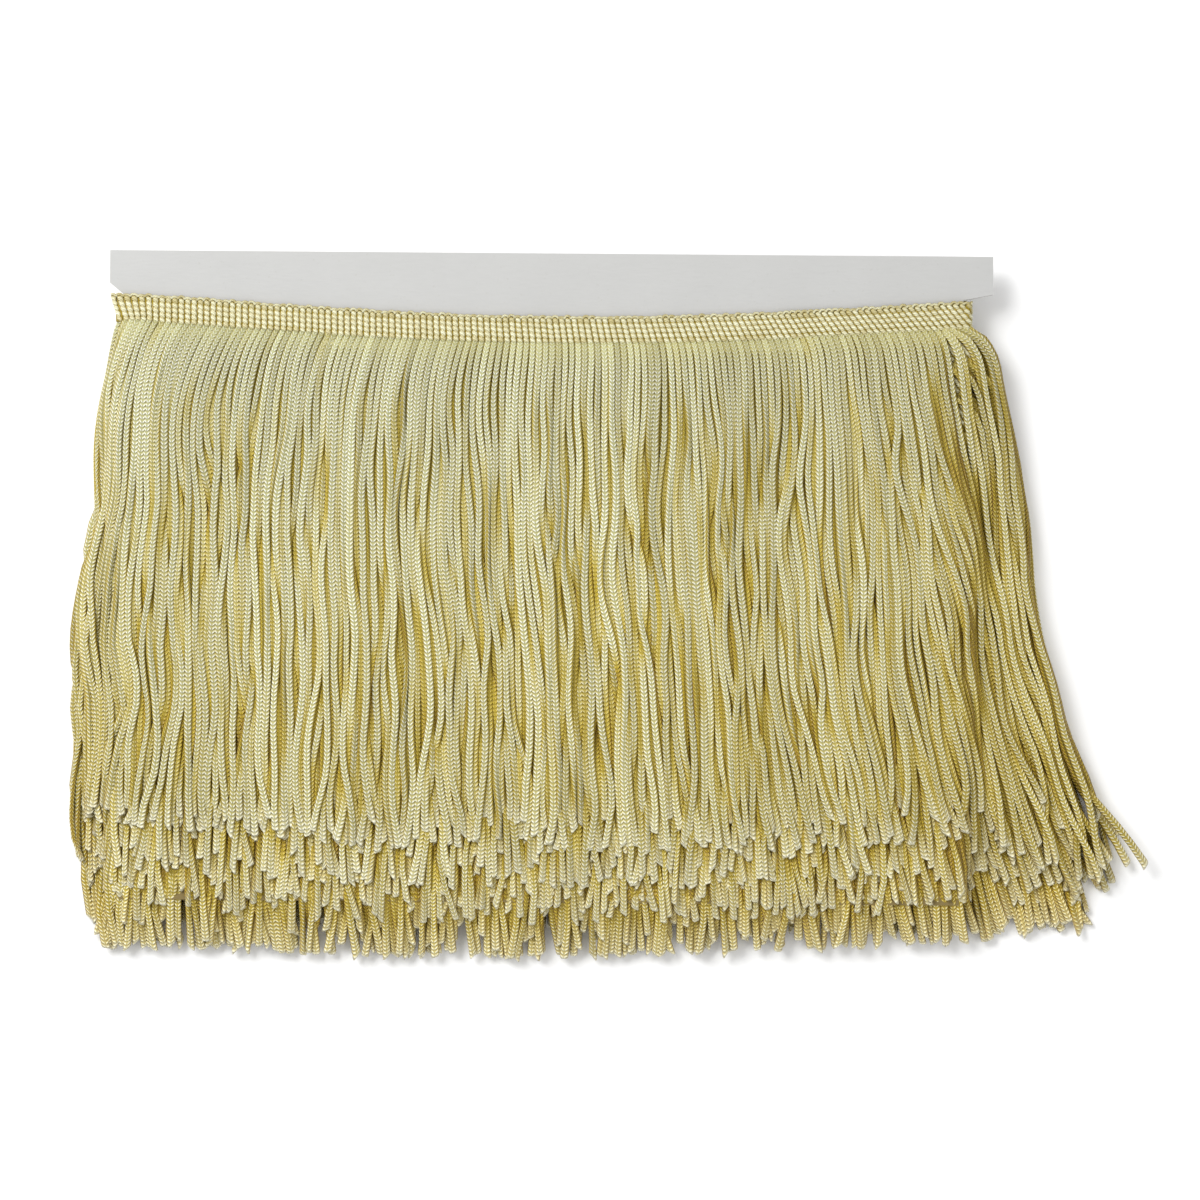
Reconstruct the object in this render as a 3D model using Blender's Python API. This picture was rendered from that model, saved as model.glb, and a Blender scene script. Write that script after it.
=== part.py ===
"""Chainette fringe trim wound four times, flat, round a stiff card that lies face up.

X runs along the heading, Y up the card and Z out of the card's face. The trim is one knitted
piece: a narrow flat heading whose lower edge carries the cords of the fringe. The heading is
wound upwards, so each turn lies above the one before on the card, and the cords of each turn
hang down over the turns wound before it. The bare rim of the card shows above the last turn.
"""

from dataclasses import dataclass

import bmesh
import bpy
import numpy as np

# Card, in metres: a rim that is wider than the waist below it, where the heading sits
CARD_RIM_WIDTH = 0.330
CARD_HEIGHT = 0.2425
CARD_THICKNESS = 0.002
CARD_WAIST_LEFT = -0.1600
CARD_WAIST_RIGHT = 0.1540
RIM_DEPTH_LEFT = 0.0122
RIM_DEPTH_RIGHT = 0.0142
NOTCH_END_DEPTH = 0.0163

# Heading: bends are the angles of its corners as it turns round the card's edge, front to back
HEADING_HEIGHT = 0.0097
HEADING_THICKNESS = 0.0013
HEADING_TOP_DEPTH = 0.0172
HEADING_SAG = 0.0071
SAG_CENTRE = 0.005
SAG_HALF_LENGTH = 0.160
SAG_POWER = 1.3
TURN_PITCH = 0.0119
TURNS = 4
PIECE_GAP = 0.0003
EDGE_CLEARANCE = 0.002
TAIL_INSET = 0.006
HEADING_CELLS = 6
BEND_ANGLES = (30.0, -30.0, -90.0)

# Cords of the fringe. Their width is a share of the room each has along the heading, and the
# ragged length is the most by which one is shorter than the longest. The cords that hang from the
# bends lean out at the left (-1) and the right (1): by how much, and the step from turn to turn
CORD_LENGTH = 0.190
CORD_THICKNESS = 0.0024
CORD_FILL = 0.81
RAGGED_LENGTH = 0.012
SIDE_CORD_WIDTH = 0.0020
SIDE_FLARES = {-1: (0.001, 0.002), 1: (0.038, 0.005)}
SHORTEST_BEND = 0.001
SEED = 7

# How the cords of one turn climb over the headings wound before it: distance below the heading
# of the last turn, then height over the card's face, both to the cord's near side
CLIMB_START = 0.0019
CLIMB_FIRST_HEIGHT = HEADING_THICKNESS + 2 * PIECE_GAP
LAYER_STEP = CORD_THICKNESS + PIECE_GAP
CLIMB_END_DEPTH = {1: 0.026, 2: 0.027, 3: 0.036}

# How the cords wander sideways on their way down: a wave is its reach, then how many times it
# swings down the length of a cord and across the width of the fringe
WAVES = ((0.0030, 1.1, 1.7), (0.0006, 2.6, -3.1))
KICK_SHARE = 0.2
KICK_POWER = 8
FLARE_POWER = 1.2
LEFT_EASE = 2.2
FAN_POWER = 3

YARN_COLOUR = (0.578, 0.527, 0.262, 1.0)
YARN_ROUGHNESS = 0.45
CARD_COLOUR = (0.604, 0.610, 0.578, 1.0)
CARD_ROUGHNESS = 0.85


@dataclass(frozen=True)
class Run:
    """One pass of the heading across the card, on its front (face 1) or its back (face -1)."""

    turn: int
    face: int
    cords: int
    fan_left: float
    fan_right: float
    phase: float
    bends: tuple = ()


@dataclass(frozen=True)
class Section:
    """A cord's cross-section: its middle, the height of its near side over the card, and its sink."""

    x: float
    y: float
    near: float
    sink: float


# In the order in which the trim is wound. bends are depths at which a cord's course may turn
RUNS = (
    Run(turn=4, face=1, cords=40, fan_left=0.013, fan_right=0.055, phase=0.15, bends=(0.115,)),
    Run(turn=4, face=-1, cords=10, fan_left=0.010, fan_right=0.048, phase=0.60),
    Run(turn=3, face=1, cords=36, fan_left=0.017, fan_right=0.058, phase=0.45, bends=(0.110,)),
    Run(turn=3, face=-1, cords=10, fan_left=0.012, fan_right=0.046, phase=0.20),
    Run(turn=2, face=1, cords=26, fan_left=0.018, fan_right=0.050, phase=0.80),
    Run(turn=2, face=-1, cords=10, fan_left=0.014, fan_right=0.044, phase=0.90),
    Run(turn=1, face=1, cords=86, fan_left=0.016, fan_right=0.045, phase=0.00, bends=(0.080, 0.135)),
    Run(turn=1, face=-1, cords=38, fan_left=0.015, fan_right=0.042, phase=0.35, bends=(0.110,)),
)
SIDE_BENDS = (0.080, 0.135)


def clear_scene():
    """Empties the scene, so that only the trim and its card are in it."""
    for thing in list(bpy.data.objects):
        bpy.data.objects.remove(thing, do_unlink=True)


def make_material(name, colour, roughness):
    """A plain matt material of one colour."""
    material = bpy.data.materials.new(name)
    material.use_nodes = True
    shader = material.node_tree.nodes["Principled BSDF"]
    shader.inputs["Base Color"].default_value = colour
    shader.inputs["Roughness"].default_value = roughness
    shader.inputs["Metallic"].default_value = 0.0
    return material


def object_from(bm, name, material):
    """Turns a finished bmesh into an object with its material."""
    bmesh.ops.recalc_face_normals(bm, faces=bm.faces)
    mesh = bpy.data.meshes.new(name)
    bm.to_mesh(mesh)
    bm.free()
    mesh.materials.append(material)
    thing = bpy.data.objects.new(name, mesh)
    bpy.context.scene.collection.objects.link(thing)
    return thing


def build_card():
    """The card: its outline, filled and extruded to the board's thickness."""
    half = CARD_RIM_WIDTH / 2
    outline = (
        (-half, 0.0),
        (-half, -RIM_DEPTH_LEFT),
        (CARD_WAIST_LEFT, -NOTCH_END_DEPTH),
        (CARD_WAIST_LEFT, -CARD_HEIGHT),
        (CARD_WAIST_RIGHT, -CARD_HEIGHT),
        (CARD_WAIST_RIGHT, -NOTCH_END_DEPTH),
        (half, -RIM_DEPTH_RIGHT),
        (half, 0.0),
    )
    bm = bmesh.new()
    back = bm.faces.new([bm.verts.new((x, y, -CARD_THICKNESS / 2)) for x, y in outline])
    front = bmesh.ops.extrude_face_region(bm, geom=[back], use_keep_orig=True)
    raised = [item for item in front["geom"] if isinstance(item, bmesh.types.BMVert)]
    bmesh.ops.translate(bm, verts=raised, vec=(0.0, 0.0, CARD_THICKNESS))
    return object_from(bm, "winding_card", make_material("card", CARD_COLOUR, CARD_ROUGHNESS))


def run_ends():
    """The X of the left and right ends of a full pass, where the heading turns round the edge."""
    inner_radius = CARD_THICKNESS / 2 + PIECE_GAP
    reach = EDGE_CLEARANCE - inner_radius
    return CARD_WAIST_LEFT - reach, CARD_WAIST_RIGHT + reach


def turn_depth(turn):
    """How far the lower edge of a turn's heading lies below that of the last turn."""
    return (turn - 1) * TURN_PITCH


def heading_top(run, x):
    """Y of the heading's upper edge: the front sags between its ends, the back climbs."""
    first_turn_top = -HEADING_TOP_DEPTH
    if run.face > 0:
        across = np.clip((x - SAG_CENTRE) / SAG_HALF_LENGTH, -1.0, 1.0)
        sag = HEADING_SAG * (1.0 - across**2) ** SAG_POWER
        return first_turn_top - sag - turn_depth(run.turn)
    left, right = run_ends()
    share = (x - left) / (right - left)
    return first_turn_top - (run.turn - 2 + share) * TURN_PITCH


def climb(turn, depth):
    """Height of a cord's near side over the card's face, a depth below the last turn's heading."""
    root = turn_depth(turn)
    if turn == TURNS:
        return PIECE_GAP
    level = PIECE_GAP + (TURNS - turn) * LAYER_STEP
    places = (root, root + CLIMB_START, CLIMB_END_DEPTH[turn])
    heights = (PIECE_GAP, CLIMB_FIRST_HEIGHT, level)
    return float(np.interp(depth, places, heights))


def drift(run, across, down):
    """Sideways shift of a cord: the fringe fans out at both ends and waves gently between."""
    left = -run.fan_left * (1.0 - across) ** FAN_POWER * (1.0 - (1.0 - down) ** LEFT_EASE)
    kick = KICK_SHARE * (1.0 - (1.0 - down) ** KICK_POWER)
    right = run.fan_right * across**FAN_POWER * (kick + (1.0 - KICK_SHARE) * down**FLARE_POWER)
    wave = sum(
        reach * np.sin(2 * np.pi * (along * down + aside * across + run.phase))
        for reach, along, aside in WAVES
    )
    return left + right + wave * down


def droop(depth, held):
    """How far a cord sinks below its layer, past the depth to which something holds it up."""
    return LAYER_STEP / TURN_PITCH * max(0.0, depth - held)


def held_depth(run, root_y):
    """How far down a cord is held up: in front by the card, at the back by the cords under it."""
    if run.face < 0:
        return CORD_LENGTH
    return CARD_HEIGHT + EDGE_CLEARANCE + root_y + turn_depth(run.turn)


def cord_depths(turn, bends, tip):
    """Depths below the last turn's heading at which a cord has a cross-section, to its tip."""
    depths = [turn_depth(turn) + CLIMB_START]
    if turn < TURNS:
        depths.append(CLIMB_END_DEPTH[turn])
    for bend in bends:
        if depths[-1] < bend < tip - SHORTEST_BEND:
            depths.append(bend)
    return depths + [tip]


def cord_sections(run, x, across, shortening):
    """The cross-sections of one cord, from just under the heading to its cut end."""
    root_y = heading_top(run, x) - HEADING_HEIGHT
    root = turn_depth(run.turn)
    fall = np.sqrt((CORD_LENGTH - shortening) ** 2 - drift(run, across, 1.0) ** 2)
    held = held_depth(run, root_y)
    sections = []
    for depth in cord_depths(run.turn, (*run.bends, held), root + fall):
        aside = drift(run, across, min(1.0, (depth - root) / fall))
        sink = droop(depth, held)
        sections.append(Section(x + aside, root_y + root - depth, climb(run.turn, depth), sink))
    return sections


def draw_cord(bm, root, rings):
    """Draws a root face of the heading out into a cord, one ring of corners after another."""
    face = root
    for ring in rings:
        face = bmesh.ops.extrude_discrete_faces(bm, faces=[face])["faces"][0]
        for vertex, corner in zip(face.verts, ring):
            vertex.co = corner


def flat_ring(run, width, section):
    """Corners of a cross-section that lies flat over the front or under the back of the card."""
    near = run.face * (CARD_THICKNESS / 2 + section.near) - section.sink
    far = near + run.face * CORD_THICKNESS
    first = section.x - run.face * width / 2
    last = section.x + run.face * width / 2
    y = section.y
    return ((first, y, near), (last, y, near), (last, y, far), (first, y, far))


def heading_ring(bm, near, far, top):
    """Four corners of the heading's cross-section: lower near, lower far, upper near, upper far."""
    places = ((near, top - HEADING_HEIGHT), (far, top - HEADING_HEIGHT), (near, top), (far, top))
    return tuple(bm.verts.new((point[0], y, point[1])) for point, y in places)


def run_ring(bm, run, x):
    """The heading's cross-section on a pass, at X."""
    near = run.face * (CARD_THICKNESS / 2 + PIECE_GAP)
    far = near + run.face * HEADING_THICKNESS
    return heading_ring(bm, (x, near), (x, far), heading_top(run, x))


def lower_pair(bm, run, x):
    """The near and far corners of the heading's lower edge on a pass, at X."""
    near = run.face * (CARD_THICKNESS / 2 + PIECE_GAP)
    bottom = heading_top(run, x) - HEADING_HEIGHT
    return tuple(bm.verts.new((x, bottom, z)) for z in (near, near + run.face * HEADING_THICKNESS))


def heading_cell(bm, start, end, pairs):
    """Faces of a stretch of heading, with pairs of lower corners in between. Returns its lower side."""
    lower = [start[:2], *pairs, end[:2]]
    bm.faces.new((start[2], *(pair[0] for pair in lower), end[2]))
    bm.faces.new((start[3], *(pair[1] for pair in lower), end[3]))
    bm.faces.new((start[2], start[3], end[3], end[2]))
    return [bm.faces.new((a[0], b[0], b[1], a[1])) for a, b in zip(lower, lower[1:])]


def build_run(bm, run, start_x, end_x, start, generator):
    """One pass of the heading with its cords. Returns the ring at which it ends."""
    left, right = run_ends()
    pitch = (end_x - start_x) / run.cords
    per_cell = int(np.ceil(run.cords / HEADING_CELLS))
    for first in range(0, run.cords, per_cell):
        last = min(first + per_cell, run.cords)
        end = run_ring(bm, run, start_x + last * pitch)
        middles = start_x + (np.arange(first, last) + 0.5) * pitch
        pairs = []
        for middle in middles:
            for edge in (middle - pitch * CORD_FILL / 2, middle + pitch * CORD_FILL / 2):
                pairs.append(lower_pair(bm, run, edge))
        lower_side = heading_cell(bm, start, end, pairs)
        for middle, root in zip(middles, lower_side[1::2]):
            across = (middle - left) / (right - left)
            shortening = RAGGED_LENGTH * generator.random()
            sections = cord_sections(run, middle, across, shortening)
            draw_cord(bm, root, [flat_ring(run, abs(pitch) * CORD_FILL, section) for section in sections])
        start = end
    return start


def side_sections(side, turn, root_y):
    """The cross-sections of the cord at a bend, which leans out past the cords of lower turns."""
    root = turn_depth(turn)
    flare, step = SIDE_FLARES[side]
    lean = flare + step * (TURNS - turn)
    fall = np.sqrt(CORD_LENGTH**2 - lean**2)
    sections = []
    for depth in cord_depths(turn, (*SIDE_BENDS, CORD_LENGTH), root + fall):
        near = CARD_THICKNESS / 2 + climb(turn, depth) + lean * (depth - root) / fall
        sections.append(Section(near, root_y + root - depth, near, droop(depth, CORD_LENGTH)))
    return sections


def upright_ring(side, centre, section):
    """Corners of a cross-section that stands beside the card's edge, between front and back."""
    near = centre + side * section.near
    far = near + side * CORD_THICKNESS
    first = side * SIDE_CORD_WIDTH / 2 - section.sink
    last = -side * SIDE_CORD_WIDTH / 2 - section.sink
    y = section.y
    return ((near, y, first), (near, y, last), (far, y, last), (far, y, first))


def build_bend(bm, side, turn, start):
    """The heading's turn round a side edge of the card, with the one cord that hangs from it."""
    centre = run_ends()[0 if side < 0 else 1]
    top = start[2].co.y
    near_radius = CARD_THICKNESS / 2 + PIECE_GAP
    far_radius = near_radius + HEADING_THICKNESS
    roots = []
    for angle in side * np.radians(BEND_ANGLES):
        across = side * np.cos(angle)
        near = (centre + near_radius * across, near_radius * np.sin(angle))
        far = (centre + far_radius * across, far_radius * np.sin(angle))
        end = heading_ring(bm, near, far, top)
        roots += heading_cell(bm, start, end, ())
        start = end
    sections = side_sections(side, turn, top - HEADING_HEIGHT)
    draw_cord(bm, roots[len(roots) // 2], [upright_ring(side, centre, section) for section in sections])
    return start


def close_end(bm, ring):
    """The cut end of the heading."""
    bm.faces.new((ring[0], ring[1], ring[3], ring[2]))


def build_trim():
    """The whole trim: passes over front and back, joined by bends round the card's edges."""
    bm = bmesh.new()
    generator = np.random.default_rng(SEED)
    left, right = run_ends()
    start_x = left + TAIL_INSET
    ring = run_ring(bm, RUNS[0], start_x)
    close_end(bm, ring)
    for run in RUNS:
        end_x = right if run.face > 0 else left
        is_last = run is RUNS[-1]
        if is_last:
            end_x = left + TAIL_INSET
        ring = build_run(bm, run, start_x, end_x, ring, generator)
        if not is_last:
            ring = build_bend(bm, run.face, run.turn if run.face > 0 else run.turn - 1, ring)
        start_x = end_x
    close_end(bm, ring)
    return object_from(bm, "fringe_trim", make_material("yarn", YARN_COLOUR, YARN_ROUGHNESS))


def stand_on_origin(things):
    """Moves everything so that the origin is under the middle, where the lowest cords lie."""
    corners = np.array([vertex.co for thing in things for vertex in thing.data.vertices])
    low = corners.min(axis=0)
    high = corners.max(axis=0)
    shift = (-(low[0] + high[0]) / 2, -(low[1] + high[1]) / 2, -low[2])
    for thing in things:
        thing.location = shift


def main():
    """Builds the card and the trim wound round it."""
    clear_scene()
    stand_on_origin([build_card(), build_trim()])


main()
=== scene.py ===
"""Looks of a chainette fringe trim wound four times, flat, round a stiff card.

All lengths are in metres. Pieces are worked out in the card's own frame: X runs along the heading,
Y up from the card's top edge, so that all below that edge is negative, and Z out of the card's middle
plane. The heading is one long strip in a flat helix, and its cords are let settle on each other.
"""

import logging
import time
from dataclasses import dataclass, field
from enum import Enum

import bpy
import numpy as np
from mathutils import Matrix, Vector


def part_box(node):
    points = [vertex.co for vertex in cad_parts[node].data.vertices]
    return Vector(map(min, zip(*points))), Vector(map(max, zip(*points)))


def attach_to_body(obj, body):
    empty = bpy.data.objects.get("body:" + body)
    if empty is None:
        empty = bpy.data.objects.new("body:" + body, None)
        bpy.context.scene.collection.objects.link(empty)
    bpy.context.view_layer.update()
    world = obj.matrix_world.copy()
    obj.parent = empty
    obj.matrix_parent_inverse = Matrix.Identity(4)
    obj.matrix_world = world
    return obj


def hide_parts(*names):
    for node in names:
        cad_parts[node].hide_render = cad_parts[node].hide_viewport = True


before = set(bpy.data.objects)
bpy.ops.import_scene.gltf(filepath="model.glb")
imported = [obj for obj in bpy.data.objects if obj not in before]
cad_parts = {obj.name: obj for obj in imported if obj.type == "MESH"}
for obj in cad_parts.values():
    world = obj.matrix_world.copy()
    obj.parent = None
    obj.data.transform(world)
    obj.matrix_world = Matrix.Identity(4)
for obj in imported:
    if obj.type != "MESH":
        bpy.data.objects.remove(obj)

BODY = "root"
# X of the card's sides below its wide rim, where the heading sits
CARD_LEFT = -0.160
CARD_RIGHT = 0.154
# How near to the middle of a cord's face its groove starts, as the sine of the angle
GROOVE_START = 0.9
LOG = logging.getLogger("fringe")


class Place(Enum):
    """The part of a turn that a stretch of heading lies on."""

    FRONT = 1
    BEND = 0
    BACK = -1


class Leg(Enum):
    """Which of the two cords of a knitted loop: the one that lies outside, or the one under it."""

    OUTER = 0
    INNER = 1


def smooth_step(value: np.ndarray, low: float | np.ndarray, high: float | np.ndarray) -> np.ndarray:
    """Eases from 0 to 1 as a value goes from low to high: 3 t squared less 2 t cubed.

    Args:
        value: The values to ease.
        low: Where the ease starts.
        high: Where it ends.

    Returns:
        The eased values, from 0 to 1.
    """
    share = np.clip((value - low) / (high - low), 0.0, 1.0)
    return share * share * (3.0 - 2.0 * share)


def read_curve(curve: tuple, places: np.ndarray) -> np.ndarray:
    """Reads a curve that is given as pairs of place and value, with straight lines between them.

    Args:
        curve: The pairs, by rising place.
        places: Where it is read.

    Returns:
        The values there.
    """
    return np.interp(places, *np.array(curve).T)


def rising(pair: tuple, share: np.ndarray) -> np.ndarray:
    """A value that is the pair's first number at a share of 0, and gains the second one up to 1."""
    return pair[0] + pair[1] * share


def ripple(
    generator: np.random.Generator,
    across: np.ndarray,
    down: np.ndarray,
    width: float,
    length: float,
    count: int = 28,
) -> np.ndarray:
    """A smooth random field: a sum of cosines whose waves run at random across and down the fringe.

    Args:
        generator: The source of the random waves.
        across: Places along the heading.
        down: Places down the cords, of a shape that broadcasts with across.
        width: The usual width of a hump along the heading.
        length: The usual length of a hump down the cords.
        count: How many waves are summed.

    Returns:
        The field, with a spread of about 1.
    """
    total = np.zeros(np.broadcast(across, down).shape)
    for _ in range(count):
        along_x = generator.normal() / width
        along_y = generator.normal() / length
        phase = generator.uniform(0.0, 2.0 * np.pi)
        total += np.cos(2.0 * np.pi * (along_x * across + along_y * down) + phase)
    return total * np.sqrt(2.0 / count)


def mesh_object(
    name: str,
    points: np.ndarray,
    quads: np.ndarray,
    corners_uv: np.ndarray,
    marks: dict[str, np.ndarray],
    material: bpy.types.Material,
) -> bpy.types.Object:
    """Puts arrays of points and quads into a smooth-shaded mesh object.

    Args:
        name: The object's name.
        points: Places of the points, one row each.
        quads: Four point numbers a row. A triangle repeats its last number.
        corners_uv: The UV of each corner, four a quad.
        marks: Named numbers, one for each point, which the material reads.
        material: The finish.

    Returns:
        The new object, linked to the scene.
    """
    is_quad = quads[:, 2] != quads[:, 3]
    sizes = np.where(is_quad, 4, 3)
    keep = np.ones(quads.shape, bool)
    keep[:, 3] = is_quad
    mesh = bpy.data.meshes.new(name)
    mesh.vertices.add(len(points))
    mesh.vertices.foreach_set("co", np.ascontiguousarray(points, np.float32).ravel())
    mesh.loops.add(int(sizes.sum()))
    mesh.loops.foreach_set("vertex_index", quads[keep].astype(np.int32))
    mesh.polygons.add(len(quads))
    mesh.polygons.foreach_set("loop_start", (np.cumsum(sizes) - sizes).astype(np.int32))
    mesh.polygons.foreach_set("loop_total", sizes.astype(np.int32))
    mesh.polygons.foreach_set("use_smooth", np.ones(len(quads), bool))
    mesh.update(calc_edges=True)
    layer = mesh.uv_layers.new(name="UVMap")
    layer.data.foreach_set("uv", corners_uv[keep].astype(np.float32).ravel())
    for mark, values in marks.items():
        attribute = mesh.attributes.new(mark, "FLOAT", "POINT")
        attribute.data.foreach_set("value", values.astype(np.float32))
    mesh.materials.append(material)
    mesh.validate()
    thing = bpy.data.objects.new(name, mesh)
    bpy.context.scene.collection.objects.link(thing)
    return thing


@dataclass
class Tubes:
    """Many closed tubes with one cross-section, each carried along its own path.

    A ring is its path's point plus the profile's two numbers times the ring's side and face
    directions. The side direction is the path's direction crossed with the wanted face direction.

    Attributes:
        paths: Points of each tube's path, as tubes by rings by 3.
        half_widths: Half the width of each ring, as tubes by rings.
        half_depths: Half the thickness of each ring, as tubes by rings.
        faces: The direction that each ring's flat face looks in, as tubes by rings by 3.
        profile: The cross-section's points in units of half the width and the depth, sides by 2.
        along: How far along its pattern each ring is, as tubes by rings.
        marks: Named numbers for the material, each as tubes by rings.
        slants: How far each ring's one side lies ahead along the path, as tubes by rings, if any do.
    """

    paths: np.ndarray
    half_widths: np.ndarray
    half_depths: np.ndarray
    faces: np.ndarray
    profile: np.ndarray
    along: np.ndarray
    marks: dict[str, np.ndarray]
    slants: np.ndarray | None = None

    def _points(self) -> np.ndarray:
        """Places of all ring points, as tubes by rings by sides by 3."""
        direction = np.gradient(self.paths, axis=1)
        direction /= np.linalg.norm(direction, axis=2, keepdims=True)
        side = np.cross(self.faces, direction)
        side /= np.linalg.norm(side, axis=2, keepdims=True)
        face = np.cross(direction, side)
        wide, deep = self.profile[:, :1], self.profile[:, 1:]
        sideways = side[:, :, None] * wide * self.half_widths[:, :, None, None]
        outwards = face[:, :, None] * deep * self.half_depths[:, :, None, None]
        points = self.paths[:, :, None] + sideways + outwards
        if self.slants is not None:
            points += direction[:, :, None] * wide * self.slants[:, :, None, None]
        return points

    @staticmethod
    def _corners(rings: int, sides: int) -> tuple[np.ndarray, np.ndarray, np.ndarray]:
        """The quads of one tube: its walls, then the fan that closes its root, then that of its tip.

        Args:
            rings: Rings of the tube.
            sides: Sides of the tube.

        Returns:
            For each quad's four corners, the point's number, the spot round the tube, and the ring.
        """
        ring, spot = (part.ravel() for part in np.indices((rings - 1, sides)))
        first = np.arange(sides)
        walls = np.stack((spot, spot + 1, spot + 1, spot), 1)
        root_fan = np.stack((first, first + 1, first, first), 1)
        tip_fan = np.stack((first, first, first + 1, first + 1), 1)
        around = np.concatenate((walls, root_fan, tip_fan))
        wall_rings = np.stack((ring, ring, ring + 1, ring + 1), 1)
        ring_of = np.concatenate((wall_rings, np.full((sides, 4), 0), np.full((sides, 4), rings - 1)))
        numbers = ring_of * sides + around % sides
        numbers[-2 * sides : -sides, 0] = rings * sides
        numbers[-sides:, 0] = rings * sides + 1
        return numbers, around, ring_of

    def build(self, name: str, material: bpy.types.Material) -> bpy.types.Object:
        """Joins the rings with quads and closes both ends of each tube with a fan.

        Args:
            name: The object's name.
            material: The finish.

        Returns:
            The new object.
        """
        tubes, rings = self.paths.shape[:2]
        sides = len(self.profile)
        ring_points = self._points().reshape(tubes, rings * sides, 3)
        points = np.concatenate((ring_points, self.paths[:, (0, -1)]), axis=1)
        numbers, around, ring_of = self._corners(rings, sides)
        first_point = np.arange(tubes) * points.shape[1]
        quads = (numbers[None] + first_point[:, None, None]).reshape(-1, 4)
        along = self.along[:, ring_of]
        uv = np.stack((np.broadcast_to(around / sides, along.shape), along), -1).reshape(-1, 4, 2)
        marks = {}
        for mark, values in self.marks.items():
            on_rings = np.repeat(values, sides, axis=1)
            marks[mark] = np.concatenate((on_rings, values[:, (0, -1)]), axis=1).ravel()
        return mesh_object(name, points.reshape(-1, 3), quads, uv, marks, material)


def grooved_profile(sides: int, groove: float, fullness: float) -> np.ndarray:
    """A flattened round with a shallow groove down the middle of both faces.

    Args:
        sides: How many points it has, a multiple of four.
        groove: How much of the thickness the groove takes away.
        fullness: The power on the cosine and the sine. Under 1 it fills the corners out.

    Returns:
        The points, sides by 2, the first at the end of the width.
    """
    angle = 2.0 * np.pi * np.arange(sides) / sides
    wide = np.sign(np.cos(angle)) * np.abs(np.cos(angle)) ** fullness
    deep = np.sign(np.sin(angle)) * np.abs(np.sin(angle)) ** fullness
    deep *= 1.0 - groove * smooth_step(np.abs(np.sin(angle)), GROOVE_START, 1.0)
    return np.stack((wide, deep), 1)


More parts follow.
